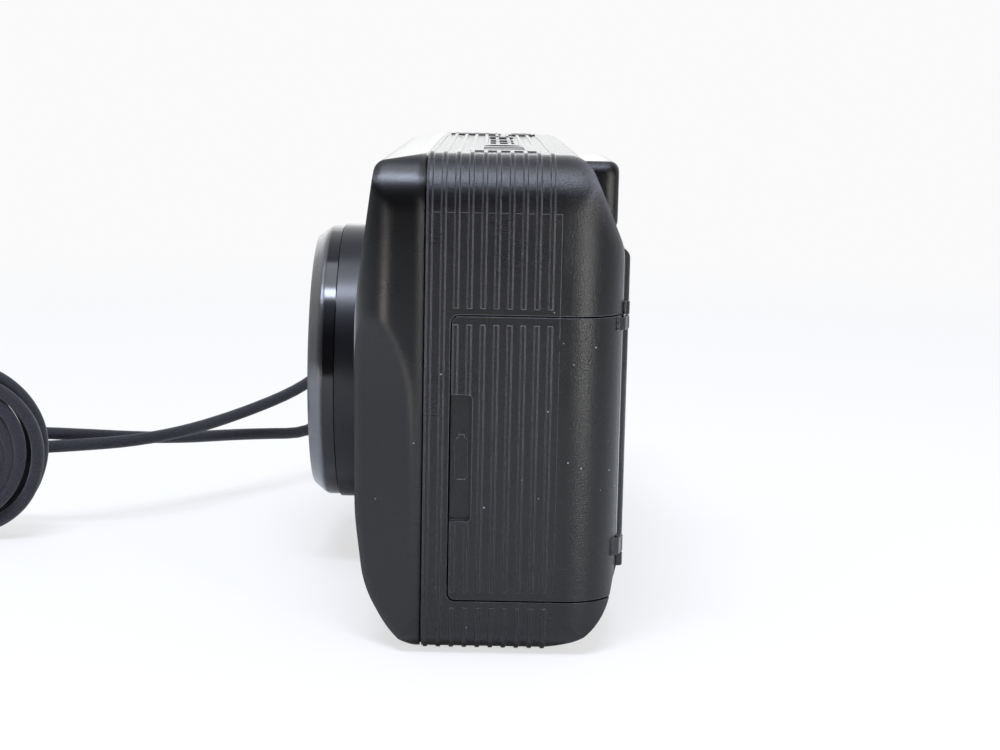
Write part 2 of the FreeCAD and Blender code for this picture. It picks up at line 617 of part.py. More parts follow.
def back_cover():
    outline = [(COVER_RIM_Y, COVER_LOW_Z, 0.3), (COVER_TAPER_Y, COVER_LOW_Z, 0.8),
               (COVER_OUT_Y, COVER_TAPER_Z, 6.0), (COVER_OUT_Y, COVER_HIGH_Z, 1.8), (COVER_RIM_Y, COVER_HIGH_Z, 0.3)]
    cover = plate_x(outline, COVER_RIGHT_X, COVER_LEFT_X)
    cover = cover.common(plate_z([(COVER_RIGHT_X, 10, 0.3), (COVER_LEFT_X, 10, 0.3),
                                  (COVER_LEFT_X, COVER_OUT_Y, 1.5), (COVER_RIGHT_X, COVER_OUT_Y, 1.5)], 0, 70))
    inside = plate_y(rect(COVER_RIGHT_X + 5, COVER_LEFT_X - 1.6, COVER_LOW_Z + 11, COVER_HIGH_Z - 3.4, 1.0),
                     10, COVER_OUT_Y - COVER_SKIN)
    cover = cover.cut(inside)
    for z0, z1 in COVER_KNUCKLES:
        cover = cover.fuse(cover_knuckle(z0, z1, COVER_RIGHT_X + 1.5))
        cover = cover.cut(rod(COVER_PIN_R + PIN_CLEARANCE, (COVER_HINGE_X, COVER_HINGE_Y, z0 - 1),
                              (COVER_HINGE_X, COVER_HINGE_Y, z1 + 1)))
    cover = cover.cut(plate_y(film_window_corners(FIT_GAP), 10, 40))
    cover = cover.cut(plate_y(rect(LATCH_X - 2.8, LATCH_X + 2.8, LATCH_LOW_Z - 1, LATCH_LOW_Z + LATCH_LENGTH
                                   + LATCH_TRAVEL + 1, 1.0), COVER_OUT_Y - 0.9, 40))
    cover = cover.cut(box(LATCH_X - 1.2, LATCH_X + 1.2, 10, 40, LATCH_LOW_Z + 2,
                          LATCH_LOW_Z + LATCH_LENGTH + LATCH_TRAVEL - 2))
    return cover


def film_window_corners(grow=0.0):
    return rect(CARTRIDGE_X - 4 - grow, CARTRIDGE_X + 4 + grow, LENS_Z - 10 - grow, LENS_Z + 10 + grow, 2.0)


def back_latch():
    knob = plate_y(rect(LATCH_X - 2.3, LATCH_X + 2.3, LATCH_LOW_Z, LATCH_LOW_Z + LATCH_LENGTH, 0.8),
                   COVER_OUT_Y - 0.8, COVER_OUT_Y - 0.05)
    for i in range(5):
        z = LATCH_LOW_Z + 2.2 + 1.4 * i
        knob = knob.cut(box(LATCH_X - 3, LATCH_X + 3, COVER_OUT_Y - 0.4, COVER_OUT_Y + 1, z - 0.3, z + 0.3))
    stem = box(LATCH_X - 0.9, LATCH_X + 0.9, COVER_OUT_Y - COVER_SKIN - 1.2, COVER_OUT_Y - 0.7,
               LATCH_LOW_Z + 2.3, LATCH_LOW_Z + LATCH_LENGTH - 2.3)
    bar_y = COVER_OUT_Y - COVER_SKIN - SLIDE_GAP
    bar = box(LATCH_X - 2.0, LATCH_X + 2.0, bar_y - 1.0, bar_y, LATCH_LOW_Z - 7.0, LATCH_LOW_Z + 19.0)
    return knob.fuse(stem).fuse(bar)


def pressure_plate():
    plate = plate_y(rect(LENS_X - 22, LENS_X + 22, LENS_Z - 15, LENS_Z + 15, 2.0), FILM_Y + 0.35, FILM_Y + 1.35)
    lip = plate_y(rect(LENS_X - 19, LENS_X + 19, LENS_Z - 12.5, LENS_Z + 12.5, 1.0), FILM_Y + 1.35, FILM_Y + 1.75)
    return plate.fuse(lip)


def pressure_spring():
    """A bowed leaf between the pressure plate and the inside of the back cover."""
    low = FILM_Y + 1.75
    high = COVER_OUT_Y - COVER_SKIN
    t = 0.3
    outer = Part.Arc(V(LENS_X - 16, low, LENS_Z), V(LENS_X, high, LENS_Z), V(LENS_X + 16, low, LENS_Z)).toShape()
    inner = Part.Arc(V(LENS_X - 15, low, LENS_Z), V(LENS_X, high - t, LENS_Z), V(LENS_X + 15, low, LENS_Z)).toShape()
    left = Part.makeLine(V(LENS_X - 16, low, LENS_Z), V(LENS_X - 15, low, LENS_Z))
    right = Part.makeLine(V(LENS_X + 15, low, LENS_Z), V(LENS_X + 16, low, LENS_Z))
    face = Part.Face(Part.Wire(Part.__sortEdges__([outer, right, inner, left])))
    leaf = face.extrude(V(0, 0, 5))
    leaf.translate(V(0, 0, -2.5))
    return leaf


def chassis():
    body = box(CHASSIS_RIGHT_X, CHASSIS_LEFT_X, CHASSIS_FRONT_Y, FILM_Y, CHASSIS_LOW_Z, CHASSIS_HIGH_Z)
    chamber = rod(CARTRIDGE_R + 1.0, (CARTRIDGE_X, CARTRIDGE_Y, CHASSIS_LOW_Z),
                  (CARTRIDGE_X, CARTRIDGE_Y, CHASSIS_HIGH_Z))
    body = body.fuse(chamber.common(box(0, 60, -30, FILM_Y, 0, 70)))
    body = body.cut(rod(CARTRIDGE_R, (CARTRIDGE_X, CARTRIDGE_Y, CARTRIDGE_LOW_Z),
                        (CARTRIDGE_X, CARTRIDGE_Y, CARTRIDGE_HIGH_Z)))
    body = body.cut(box(CARTRIDGE_X - CARTRIDGE_R, CARTRIDGE_X + CARTRIDGE_R, CARTRIDGE_Y, 40,
                        CARTRIDGE_LOW_Z, CARTRIDGE_HIGH_Z))
    body = body.cut(rod(SPOOL_CHAMBER_R, (SPOOL_X, SPOOL_Y, SPOOL_LOW_Z), (SPOOL_X, SPOOL_Y, SPOOL_HIGH_Z)))
    body = body.cut(box(SPOOL_X - SPOOL_CHAMBER_R, SPOOL_X + SPOOL_CHAMBER_R, SPOOL_Y, 40,
                        SPOOL_LOW_Z, SPOOL_HIGH_Z))
    tunnel = box(LENS_X - GATE_WIDTH / 2, LENS_X + GATE_WIDTH / 2, -40, 40,
                 LENS_Z - GATE_HEIGHT / 2, LENS_Z + GATE_HEIGHT / 2)
    body = body.cut(tunnel)
    baffle = box(LENS_X - GATE_WIDTH / 2, LENS_X + GATE_WIDTH / 2, 3.0, 4.5,
                 LENS_Z - GATE_HEIGHT / 2, LENS_Z + GATE_HEIGHT / 2)
    baffle = baffle.cut(box(LENS_X - 8.4, LENS_X + 8.4, 0, 8, LENS_Z - 8, LENS_Z + 8))
    body = body.fuse(baffle)
    body = body.cut(lens_guide_rods())
    body = body.fuse(rocker_post())
    for z in (LENS_Z - GATE_HEIGHT / 2 - 2.5, LENS_Z + GATE_HEIGHT / 2 + 2.5):
        body = body.fuse(box(LENS_X - 21, LENS_X + 18.5, FILM_Y, FILM_Y + 0.25, z - 0.8, z + 0.8))
    plate = box(3.0 - WIDTH / 2, CHASSIS_RIGHT_X, -3.0, 13.6, 6.7, 8.1)
    body = body.fuse(plate)
    body = body.cut(rod(1.6, (MOTOR_X, MOTOR_Y, 5), (MOTOR_X, MOTOR_Y, 9)))
    body = body.cut(rod(2.0 + PIN_CLEARANCE, (SPOOL_X, SPOOL_Y, 5), (SPOOL_X, SPOOL_Y, SPOOL_LOW_Z)))
    body = body.cut(rod(1.5 + PIN_CLEARANCE, (SPOOL_X, SPOOL_Y, SPOOL_HIGH_Z),
                        (SPOOL_X, SPOOL_Y, SPOOL_HIGH_Z + 2.0)))
    body = body.cut(rod(2.0 + PIN_CLEARANCE, (CARTRIDGE_X, CARTRIDGE_Y, CARTRIDGE_HIGH_Z - 0.4),
                        (CARTRIDGE_X, CARTRIDGE_Y, CHASSIS_HIGH_Z + 1.0)))
    ix, iy = idler_centre()
    body = body.fuse(rod(1.0, (ix, iy, FLOOR_Z + 0.3), (ix, iy, CHASSIS_LOW_Z)))
    cavity = blank(WALL)
    for x, y in SCREW_PLACES:
        body = body.fuse(rod(2.6, (x, y, FLOOR_Z), (x, y, CHASSIS_LOW_Z)).common(cavity))
        body = body.cut(rod(SCREW_SHANK_R, (x, y, FLOOR_Z - 0.1), (x, y, CHASSIS_LOW_Z - 0.5)))
    return body


def idler_centre():
    """Where the idler gear meshes with both the spool gear and the motor pinion."""
    a = GEAR_MODULE * (SPOOL_TEETH + IDLER_TEETH) / 2
    b = GEAR_MODULE * (IDLER_TEETH + PINION_TEETH) / 2
    dx, dy = MOTOR_X - SPOOL_X, MOTOR_Y - SPOOL_Y
    d = math.hypot(dx, dy)
    along = (a * a - b * b + d * d) / (2 * d)
    aside = math.sqrt(a * a - along * along)
    ux, uy = dx / d, dy / d
    return SPOOL_X + ux * along - uy * aside, SPOOL_Y + uy * along + ux * aside


def gear(teeth, x, y, bore, phase_deg):
    """A spur gear with straight-sided teeth; phase_deg is where one tooth points."""
    pitch_r = GEAR_MODULE * teeth / 2
    tip_r = pitch_r + 0.75 * GEAR_MODULE
    root_r = pitch_r - 1.05 * GEAR_MODULE
    step = 2 * math.pi / teeth
    tip_half, pitch_half, root_half = 0.10 * step, 0.20 * step, 0.31 * step
    points = []
    for i in range(teeth):
        centre = math.radians(phase_deg) + i * step
        for angle, radius in ((-root_half, root_r), (-pitch_half, pitch_r), (-tip_half, tip_r),
                              (tip_half, tip_r), (pitch_half, pitch_r), (root_half, root_r)):
            points.append(V(x + radius * math.cos(centre + angle), y + radius * math.sin(centre + angle),
                            GEAR_LOW_Z))
    points.append(points[0])
    solid = Part.Face(Part.makePolygon(points)).extrude(V(0, 0, GEAR_T))
    if bore:
        solid = solid.cut(rod(bore, (x, y, GEAR_LOW_Z - 1), (x, y, GEAR_LOW_Z + GEAR_T + 1)))
    return solid


def spool_gear():
    ix, iy = idler_centre()
    toward = math.degrees(math.atan2(iy - SPOOL_Y, ix - SPOOL_X))
    return gear(SPOOL_TEETH, SPOOL_X, SPOOL_Y, 0, toward)


def idler_gear():
    """A gap of this gear faces the spool gear's tooth."""
    ix, iy = idler_centre()
    toward = math.degrees(math.atan2(SPOOL_Y - iy, SPOOL_X - ix))
    return gear(IDLER_TEETH, ix, iy, 1.0 + PIN_CLEARANCE, toward + 180.0 / IDLER_TEETH)


def motor_pinion():
    """Its tooth or gap follows from where the idler's teeth stand on the line between the two."""
    ix, iy = idler_centre()
    idler_phase = math.degrees(math.atan2(SPOOL_Y - iy, SPOOL_X - ix)) + 180.0 / IDLER_TEETH
    to_motor = math.degrees(math.atan2(MOTOR_Y - iy, MOTOR_X - ix))
    step = 360.0 / IDLER_TEETH
    share = ((to_motor - idler_phase) / step) % 1.0
    phase = to_motor + 180.0 + (share + 0.5) * 360.0 / PINION_TEETH
    pinion = gear(PINION_TEETH, MOTOR_X, MOTOR_Y, 0, phase)
    return pinion.fuse(rod(0.75, (MOTOR_X, MOTOR_Y, GEAR_LOW_Z), (MOTOR_X, MOTOR_Y, 11.0)))


def film_motor():
    low = 8.1
    motor = rod(MOTOR_R, (MOTOR_X, MOTOR_Y, low), (MOTOR_X, MOTOR_Y, low + MOTOR_LENGTH))
    motor = motor.common(box(MOTOR_X - 6, MOTOR_X + 6, MOTOR_Y - 4, MOTOR_Y + 4, 0, 60))
    return motor.cut(rod(0.75 + PIN_CLEARANCE, (MOTOR_X, MOTOR_Y, low - 1), (MOTOR_X, MOTOR_Y, 11.1)))


def take_up_spool():
    low, high = SPOOL_LOW_Z + SLIDE_GAP, SPOOL_HIGH_Z - SLIDE_GAP
    spool = rod(SPOOL_R, (SPOOL_X, SPOOL_Y, low), (SPOOL_X, SPOOL_Y, high))
    for z in (low, high - 1.2):
        spool = spool.fuse(rod(SPOOL_R + 2.6, (SPOOL_X, SPOOL_Y, z), (SPOOL_X, SPOOL_Y, z + 1.2)))
    for i in range(3):
        slot = box(-1.0, 1.0, SPOOL_R - 1.2, SPOOL_R + 1, low + 8, low + 24)
        slot.rotate(V(0, 0, 0), V(0, 0, 1), 120 * i)
        slot.translate(V(SPOOL_X, SPOOL_Y, 0))
        spool = spool.cut(slot)
    spool = spool.fuse(rod(2.0, (SPOOL_X, SPOOL_Y, GEAR_LOW_Z - 0.4), (SPOOL_X, SPOOL_Y, low)))
    spool = spool.fuse(rod(1.5, (SPOOL_X, SPOOL_Y, high), (SPOOL_X, SPOOL_Y, SPOOL_HIGH_Z + 1.6)))
    return spool.fuse(spool_gear())


def rewind_fork():
    x, y = CARTRIDGE_X, CARTRIDGE_Y
    fork = rod(3.4, (x, y, CARTRIDGE_HIGH_Z - 1.6), (x, y, CARTRIDGE_HIGH_Z - SLIDE_GAP))
    fork = fork.fuse(box(x - 2.0, x + 2.0, y - 0.6, y + 0.6, CARTRIDGE_HIGH_Z - 5.5, CARTRIDGE_HIGH_Z - 1.6))
    fork = fork.fuse(rod(2.0, (x, y, CARTRIDGE_HIGH_Z - SLIDE_GAP), (x, y, CHASSIS_HIGH_Z + SLIDE_GAP)))
    return fork.fuse(rod(3.4, (x, y, CHASSIS_HIGH_Z + SLIDE_GAP), (x, y, CHASSIS_HIGH_Z + 1.0)))


def dx_contacts():
    pins = []
    for i in range(6):
        z = LENS_Z - 12.5 + 5.0 * i
        pins.append(rod(0.7, (CARTRIDGE_X + CARTRIDGE_R - 0.25, CARTRIDGE_Y - 0.8, z),
                        (CARTRIDGE_X + CARTRIDGE_R - 0.9, CARTRIDGE_Y - 0.8, z)))
    return Part.makeCompound(pins)


def light_seals():
    strips = []
    for z in (CHASSIS_LOW_Z + 1.5, CHASSIS_HIGH_Z - 1.6):
        strips.append(box(CHASSIS_RIGHT_X + 2.0, CHASSIS_LEFT_X - 1.2, FILM_Y, COVER_RIM_Y - SLIDE_GAP,
                          z - 0.8, z + 0.8))
    return Part.makeCompound(strips)


def lens_collar():
    collar = tube(COLLAR_R, COLLAR_BORE_R, (LENS_X, COLLAR_FRONT_Y, LENS_Z), (LENS_X, CHASSIS_FRONT_Y, LENS_Z))
    back = FRONT_Y + WALL + 0.3
    flange = tube(COLLAR_FLANGE_R - 1, COLLAR_R - 0.5, (LENS_X, back, LENS_Z),
                  (LENS_X, back + COLLAR_FLANGE_T, LENS_Z))
    return collar.fuse(flange.common(blank(WALL + FIT_GAP)))


def barrel_tube():
    front = COLLAR_FRONT_Y
    back = CHASSIS_FRONT_Y - 0.6
    barrel = tube(BARREL_R, BARREL_R - BARREL_WALL, (LENS_X, front, LENS_Z), (LENS_X, back, LENS_Z))
    wall = rod(BARREL_R, (LENS_X, front + 1.4, LENS_Z), (LENS_X, front + 2.6, LENS_Z))
    wall = wall.cut(rod(15.0, (LENS_X, front, LENS_Z), (LENS_X, front + 4, LENS_Z)))
    return barrel.fuse(wall)


def barrel_ring():
    """The glossy band between the collar and the bezel; it caps the moving tube."""
    ring = tube(RING_R, BLADE_SPACE_R, (LENS_X, RING_FRONT_Y, LENS_Z), (LENS_X, COLLAR_FRONT_Y - SLIDE_GAP, LENS_Z))
    return ring.fuse(tube(BARREL_R, BLADE_SPACE_R, (LENS_X, COLLAR_FRONT_Y - SLIDE_GAP, LENS_Z),
                          (LENS_X, COLLAR_FRONT_Y, LENS_Z)))


def barrel_bezel():
    """The tapered front ring, with a dish that falls in towards the front glass."""
    profile = [V(BLADE_OPENING_R + 0.6, RING_FRONT_Y - 0.6, 0), V(BLADE_OPENING_R + 0.6, RING_FRONT_Y - 1.2, 0),
               V(17.2, BEZEL_FRONT_Y + 0.9, 0), V(19.6, BEZEL_FRONT_Y, 0), V(RING_R - BEZEL_TAPER, BEZEL_FRONT_Y, 0),
               V(RING_R - 0.35, RING_FRONT_Y - 0.75, 0), V(RING_R, RING_FRONT_Y, 0), V(BLADE_SPACE_R, RING_FRONT_Y, 0),
               V(BLADE_SPACE_R, RING_FRONT_Y - 0.6, 0)]
    profile.append(profile[0])
    ring = Part.Face(Part.makePolygon(profile)).revolve(V(0, 0, 0), V(0, 1, 0), 360)
    ring.translate(V(LENS_X, 0, LENS_Z))
    return ring


def blade_y():
    return RING_FRONT_Y - 0.6 + 0.05


def cover_blade(side):
    """Half of the lens cover. side is +1 for the upper blade and -1 for the lower."""
    y = blade_y() if side > 0 else blade_y() + BLADE_T + 0.1
    r = BLADE_OPENING_R + 1.6
    half = rod(r, (0, y, 0), (0, y + BLADE_T, 0)).common(box(-r, r, y, y + BLADE_T, 0.05, r))
    arm = box(0, BLADE_PIVOT_X, y, y + BLADE_T, 0.05, 5.0)
    hub = rod(2.2, (BLADE_PIVOT_X, y, 2.2), (BLADE_PIVOT_X, y + BLADE_T, 2.2))
    blade = half.fuse(arm).fuse(hub)
    blade = blade.cut(rod(0.6 + PIN_CLEARANCE, (BLADE_PIVOT_X, y - 1, 2.2), (BLADE_PIVOT_X, y + 1, 2.2)))
    if side < 0:
        blade.rotate(V(0, 0, 0), V(0, 1, 0), 180)
    blade.translate(V(LENS_X, 0, LENS_Z))
    return blade


def blade_plate():
    """The plate that carries the two blade pivots, behind the blades."""
    y = blade_y() + 2 * BLADE_T + 0.3
    plate = rod(BLADE_SPACE_R - FIT_GAP, (LENS_X, y, LENS_Z), (LENS_X, y + 0.6, LENS_Z))
    plate = plate.cut(rod(BLADE_OPENING_R + 0.6, (LENS_X, y - 1, LENS_Z), (LENS_X, y + 2, LENS_Z)))
    for side in (1, -1):
        x, z = LENS_X + side * BLADE_PIVOT_X, LENS_Z + side * 2.2
        plate = plate.fuse(rod(0.6, (x, blade_y() + 0.02, z), (x, y, z)))
    return plate


def lens_element(radius, y0, y1, front_r, back_r):
    """A glass between its front vertex y0 and its back rim y1. A negative back_r makes a hollow back."""
    glass = rod(radius, (0, y0, 0), (0, y1, 0))
    glass = glass.common(Part.makeSphere(front_r, V(0, y0 + front_r, 0)))
    if back_r > 0:
        glass = glass.common(Part.makeSphere(back_r, V(0, y1 - back_r, 0)))
    else:
        glass = glass.cut(Part.makeSphere(-back_r, V(0, y1 + math.sqrt(back_r ** 2 - radius ** 2), 0)))
    glass.translate(V(LENS_X, 0, LENS_Z))
    return glass


def front_lens_group():
    first = lens_element(11.0, -24.6, -21.6, 42.0, -60.0)
    second = lens_element(10.0, -19.6, -17.4, 60.0, 50.0)
    return Part.makeCompound([first, second])


def front_cell():
    cell = rod(15.0, (LENS_X, -24.8, LENS_Z), (LENS_X, -16.6, LENS_Z))
    cell = cell.cut(rod(9.4, (LENS_X, -30, LENS_Z), (LENS_X, -10, LENS_Z)))
    cell = cell.cut(rod(11.0, (LENS_X, -30, LENS_Z), (LENS_X, -21.6, LENS_Z)))
    return cell.cut(rod(10.0, (LENS_X, -19.6, LENS_Z), (LENS_X, -10, LENS_Z)))


GUIDE_PLACES = ((LENS_X + 9.6, LENS_Z + 6.5), (LENS_X - 9.6, LENS_Z - 6.5))
CARRIAGE_TRAVEL = 6.0


def lens_carriage():
    body = rod(11.5, (LENS_X, -6.6, LENS_Z), (LENS_X, 1.0, LENS_Z))
    body = body.common(box(-60, 60, -20, 20, LENS_Z - 10.9, LENS_Z + 10.9))
    for x, z in GUIDE_PLACES:
        body = body.fuse(rod(2.0, (x, -6.6, z), (x, 1.0, z)))
        body = body.cut(rod(0.8 + PIN_CLEARANCE, (x, -10, z), (x, 5, z)))
    body = body.cut(rod(7.2, (LENS_X, -10, LENS_Z), (LENS_X, 5, LENS_Z)))
    return body


def rear_lens_group():
    first = lens_element(7.2, -5.9, -3.9, 30.0, 40.0)
    second = lens_element(7.2, -2.6, -0.4, 60.0, 28.0)
    return Part.makeCompound([first, second])


def shutter_unit():
    unit_body = rod(10.4, (LENS_X, -8.4, LENS_Z), (LENS_X, -6.6, LENS_Z))
    unit_body = unit_body.cut(rod(5.5, (LENS_X, -10, LENS_Z), (LENS_X, -5, LENS_Z)))
    for x, z in GUIDE_PLACES:
        unit_body = unit_body.cut(rod(2.2, (x, -10, z), (x, 0, z)))
    return unit_body


def lens_guide_rods():
    rods = [rod(0.8, (x, -14.6, z), (x, 4.0, z)) for x, z in GUIDE_PLACES]
    return Part.makeCompound(rods)


def viewfinder_tube():
    y0, y1 = FRONT_Y + WALL + 0.6, 12.0
    high = CEILING_Z - KEEPER_DROP - BUTTON_TRAVEL - SLIDE_GAP
    corners = rect(FINDER_X - 10.5, FINDER_X + 10.5, WINDOW_Z - 4.6, high, 1.0)
    body = plate_y(corners, y0, y1).cut(plate_y(corners, y0 - 1, y1 + 1, 1.0))
    return body.common(blank(WALL + SEAM_GAP))


def pane(corners):
    """A pane that follows the sloping front, a little below its surface."""
    return plate_y(corners, -30, -10).common(blank(0.15)).cut(blank(0.15 + PANE_T))


def flash_reflector():
    y0, y1 = -16.6, -10.0
    outer = rect(FLASH_X - 11.2, FLASH_X + 11.2, WINDOW_Z - 4.2, WINDOW_Z + 4.2, 1.0)
    wires = []
    for y, inset in ((y0, 0.0), (y1, 2.4)):
        wires.append(rounded_wire(outer, lambda u, v, y=y: V(u, y, v), inset))
    body = Part.makeLoft(wires, True, True)
    inside = []
    for y, inset in ((y0 - 0.01, 0.5), (y1 - 0.6, 2.7)):
        inside.append(rounded_wire(outer, lambda u, v, y=y: V(u, y, v), inset))
    body = body.cut(Part.makeLoft(inside, True, True)).common(blank(WALL + SEAM_GAP))
    return body.cut(rod(1.25, (FLASH_X - 20, -12.2, WINDOW_Z), (FLASH_X + 20, -12.2, WINDOW_Z)))


def flash_tube():
    return rod(1.2, (FLASH_X - 11.5, -12.2, WINDOW_Z), (FLASH_X + 11.5, -12.2, WINDOW_Z))


def autofocus_module():
    body = box(FOCUS_X - 9.5, FOCUS_X + 9.5, -16.7, -8.0, WINDOW_Z - 4.3, WINDOW_Z + 4.0)
    for x in (FOCUS_X - 6, FOCUS_X + 6):
        body = body.cut(rod(2.8, (x, -20, WINDOW_Z), (x, -12, WINDOW_Z)))
    return body.common(blank(WALL + SEAM_GAP))


def main_board():
    left = 5.0 - WIDTH / 2
    board = plate_y(rect(left + 0.6, left + 28.0, 10.0, HEIGHT - 16.0, 1.5), -14.6, -13.6)
    for x, z, w, h in ((left + 14, 26, 12, 10), (left + 8, 44, 8, 8), (left + 21, 46, 8, 5)):
        board = board.fuse(box(x - w / 2, x + w / 2, -16.2, -14.6, z - h / 2, z + h / 2))
    for z in (15.0, HEIGHT - 21.0):
        board = board.fuse(rod(1.6, (left + 22, -13.6, z), (left + 22, CHASSIS_FRONT_Y, z)))
    return board


def flash_capacitor():
    return rod(5.6, (CELL_X - 1.5, -10.9, 15.0), (CELL_X - 1.5, -10.9, DOOR_HIGH_Z - 3.65))


def top_button(x, r):
    """A cap flush with the ribs, a stem and a keeper flange under the shell."""
    cap = rod(r, (x, BUTTON_Y, CEILING_Z), (x, BUTTON_Y, HEIGHT - 0.05))
    keeper = rod(r + 0.9, (x, BUTTON_Y, CEILING_Z - KEEPER_DROP), (x, BUTTON_Y, CEILING_Z - 0.15))
    neck = rod(r, (x, BUTTON_Y, CEILING_Z - KEEPER_DROP), (x, BUTTON_Y, CEILING_Z))
    return cap.fuse(keeper).fuse(neck)


def function_button():
    low = rod(FUNCTION_R, (FUNCTION_X, BUTTON_Y, CEILING_Z - KEEPER_DROP), (FUNCTION_X, BUTTON_Y, HEIGHT - 0.45))
    keeper = rod(FUNCTION_R + 0.9, (FUNCTION_X, BUTTON_Y, CEILING_Z - KEEPER_DROP),
                 (FUNCTION_X, BUTTON_Y, CEILING_Z - 0.15))
    return low.fuse(keeper)


def shutter_button():
    cap = rod(SHUTTER_R, (SHUTTER_X, SHUTTER_Y, CEILING_Z - 0.8), (SHUTTER_X, SHUTTER_Y, HEIGHT))
    dish = Part.makeSphere(26.0, V(SHUTTER_X, SHUTTER_Y, HEIGHT + 26.0 - 0.35))
    cap = cap.cut(dish)
    keeper = rod(SHUTTER_R + 1.0, (SHUTTER_X, SHUTTER_Y, CEILING_Z - 0.8),
                 (SHUTTER_X, SHUTTER_Y, CEILING_Z - 0.2))
    stem = rod(1.2, (SHUTTER_X, SHUTTER_Y, CHASSIS_HIGH_Z + SHUTTER_TRAVEL + 0.4),
               (SHUTTER_X, SHUTTER_Y, CEILING_Z - 0.8))
    return cap.fuse(keeper).fuse(stem)


def zoom_rocker():
    top = plate_z(rocker_corners(), CEILING_Z - 0.4, HEIGHT)
    dip = rod(30.0, (SHUTTER_X, -40, HEIGHT + 29.5), (SHUTTER_X, 40, HEIGHT + 29.5))
    top = top.cut(dip)
    pivot = box(SHUTTER_X - 1.2, SHUTTER_X + 1.2, ROCKER_Y - 1.4, ROCKER_Y + 1.4,
                ROCKER_PIVOT_Z - 1.2, CEILING_Z - 0.4)
    return top.fuse(pivot).cut(rod(0.6 + PIN_CLEARANCE, (SHUTTER_X, -20, ROCKER_PIVOT_Z),
                                   (SHUTTER_X, 30, ROCKER_PIVOT_Z)))


def rocker_post():
    """A fixed fork under the rocker with its pivot pin."""
    x = SHUTTER_X
    z = ROCKER_PIVOT_Z
    post = box(x - 2.0, x + 2.0, ROCKER_Y - 3.0, ROCKER_Y + 3.0, CHASSIS_HIGH_Z, z - 2.2)
    for side in (1, -1):
        y = ROCKER_Y + side * 2.3
        post = post.fuse(box(x - 1.4, x + 1.4, y - 0.7, y + 0.7, z - 2.2, z + 1.0))
    return post.fuse(rod(0.6, (x, ROCKER_Y - 3.0, z), (x, ROCKER_Y + 3.0, z)))


def power_slide():
    knob = plate_z(rect(POWER_X - POWER_LENGTH / 2, POWER_X + POWER_LENGTH / 2,
                        BUTTON_Y - POWER_WIDTH / 2, BUTTON_Y + POWER_WIDTH / 2, 0.8), CEILING_Z - 0.2, HEIGHT)
    for i in range(4):
        x = POWER_X - 2.1 + 1.4 * i
        knob = knob.cut(box(x - 0.3, x + 0.3, -10, 20, HEIGHT - 0.4, HEIGHT + 1))
    foot = box(POWER_X - POWER_LENGTH / 2 - 0.8, POWER_X + POWER_LENGTH / 2 + 0.8,
               BUTTON_Y - POWER_WIDTH / 2 - 1.2, BUTTON_Y + POWER_WIDTH / 2 + 1.2, CEILING_Z - 1.0, CEILING_Z - 0.2)
    return knob.fuse(foot)


def rewind_button():
    x, y = REWIND_X, REWIND_Y
    pin = rod(REWIND_R, (x, y, SHELL_LOW + 0.4), (x, y, FLOOR_Z + 1.6))
    return pin.fuse(rod(REWIND_R + 0.8, (x, y, FLOOR_Z + 0.15), (x, y, FLOOR_Z + 0.8)))


def display_window():
    return plate_z(display_corners(), HEIGHT - 1.5, HEIGHT - 0.08)


def eyepiece_frame():
    block = plate_y(eyepiece_corners(), 12.0, EYEPIECE_BACK_Y)
    rim = [edge for edge in block.Edges if edge.BoundBox.YMin > EYEPIECE_BACK_Y - 0.01]
    block = block.makeFillet(EYEPIECE_ROUND, rim)
    block = block.cut(box(EYEPIECE_RIGHT_X - 1, EYEPIECE_LEFT_X + 1, 0, 40, 50, COVER_HIGH_Z + 2 * SEAM_GAP))
    opening = rect(FINDER_X - 7.5, FINDER_X + 7.5, WINDOW_Z - 2.4, WINDOW_Z + 4.0, 1.2)
    block = block.cut(plate_y(opening, 0, 40))
    return block.cut(plate_y(opening, EYEPIECE_BACK_Y - 1.4, 40, -0.9))


def eyepiece_glass():
    opening = rect(FINDER_X - 7.5, FINDER_X + 7.5, WINDOW_Z - 2.4, WINDOW_Z + 4.0, 1.2)
    return plate_y(opening, EYEPIECE_BACK_Y - 1.4, EYEPIECE_BACK_Y - 0.5, -0.85)


def tripod_socket():
    bush = rod(TRIPOD_BUSH_R, (0, 0, 0), (0, 0, TRIPOD_DEPTH + 0.8))
    bush = bush.fuse(rod(TRIPOD_BUSH_R + 1.5, (0, 0, FLOOR_Z), (0, 0, FLOOR_Z + 1.2)))
    return bush.cut(rod(TRIPOD_R, (0, 0, -1), (0, 0, TRIPOD_DEPTH)))


def case_screws():
    screws = []
    for x, y in SCREW_PLACES:
        head = rod(SCREW_HEAD_R, (x, y, SHELL_LOW + 0.1), (x, y, SHELL_LOW + 1.0))
        for turned in (0, 90):
            slot = box(-1.1, 1.1, -0.22, 0.22, SHELL_LOW, SHELL_LOW + 0.6)
            slot.rotate(V(0, 0, 0), V(0, 0, 1), turned)
            slot.translate(V(x, y, 0))
            head = head.cut(slot)
        screws.append(head.fuse(rod(SCREW_SHANK_R, (x, y, SHELL_LOW + 1.0), (x, y, CHASSIS_LOW_Z - 0.6))))
    return Part.makeCompound(screws)


def strap_lug():
    return rod(LUG_R, (LUG_X, LUG_Y, LUG_LOW_Z - 1.0), (LUG_X, LUG_Y, LUG_HIGH_Z + 1.0))


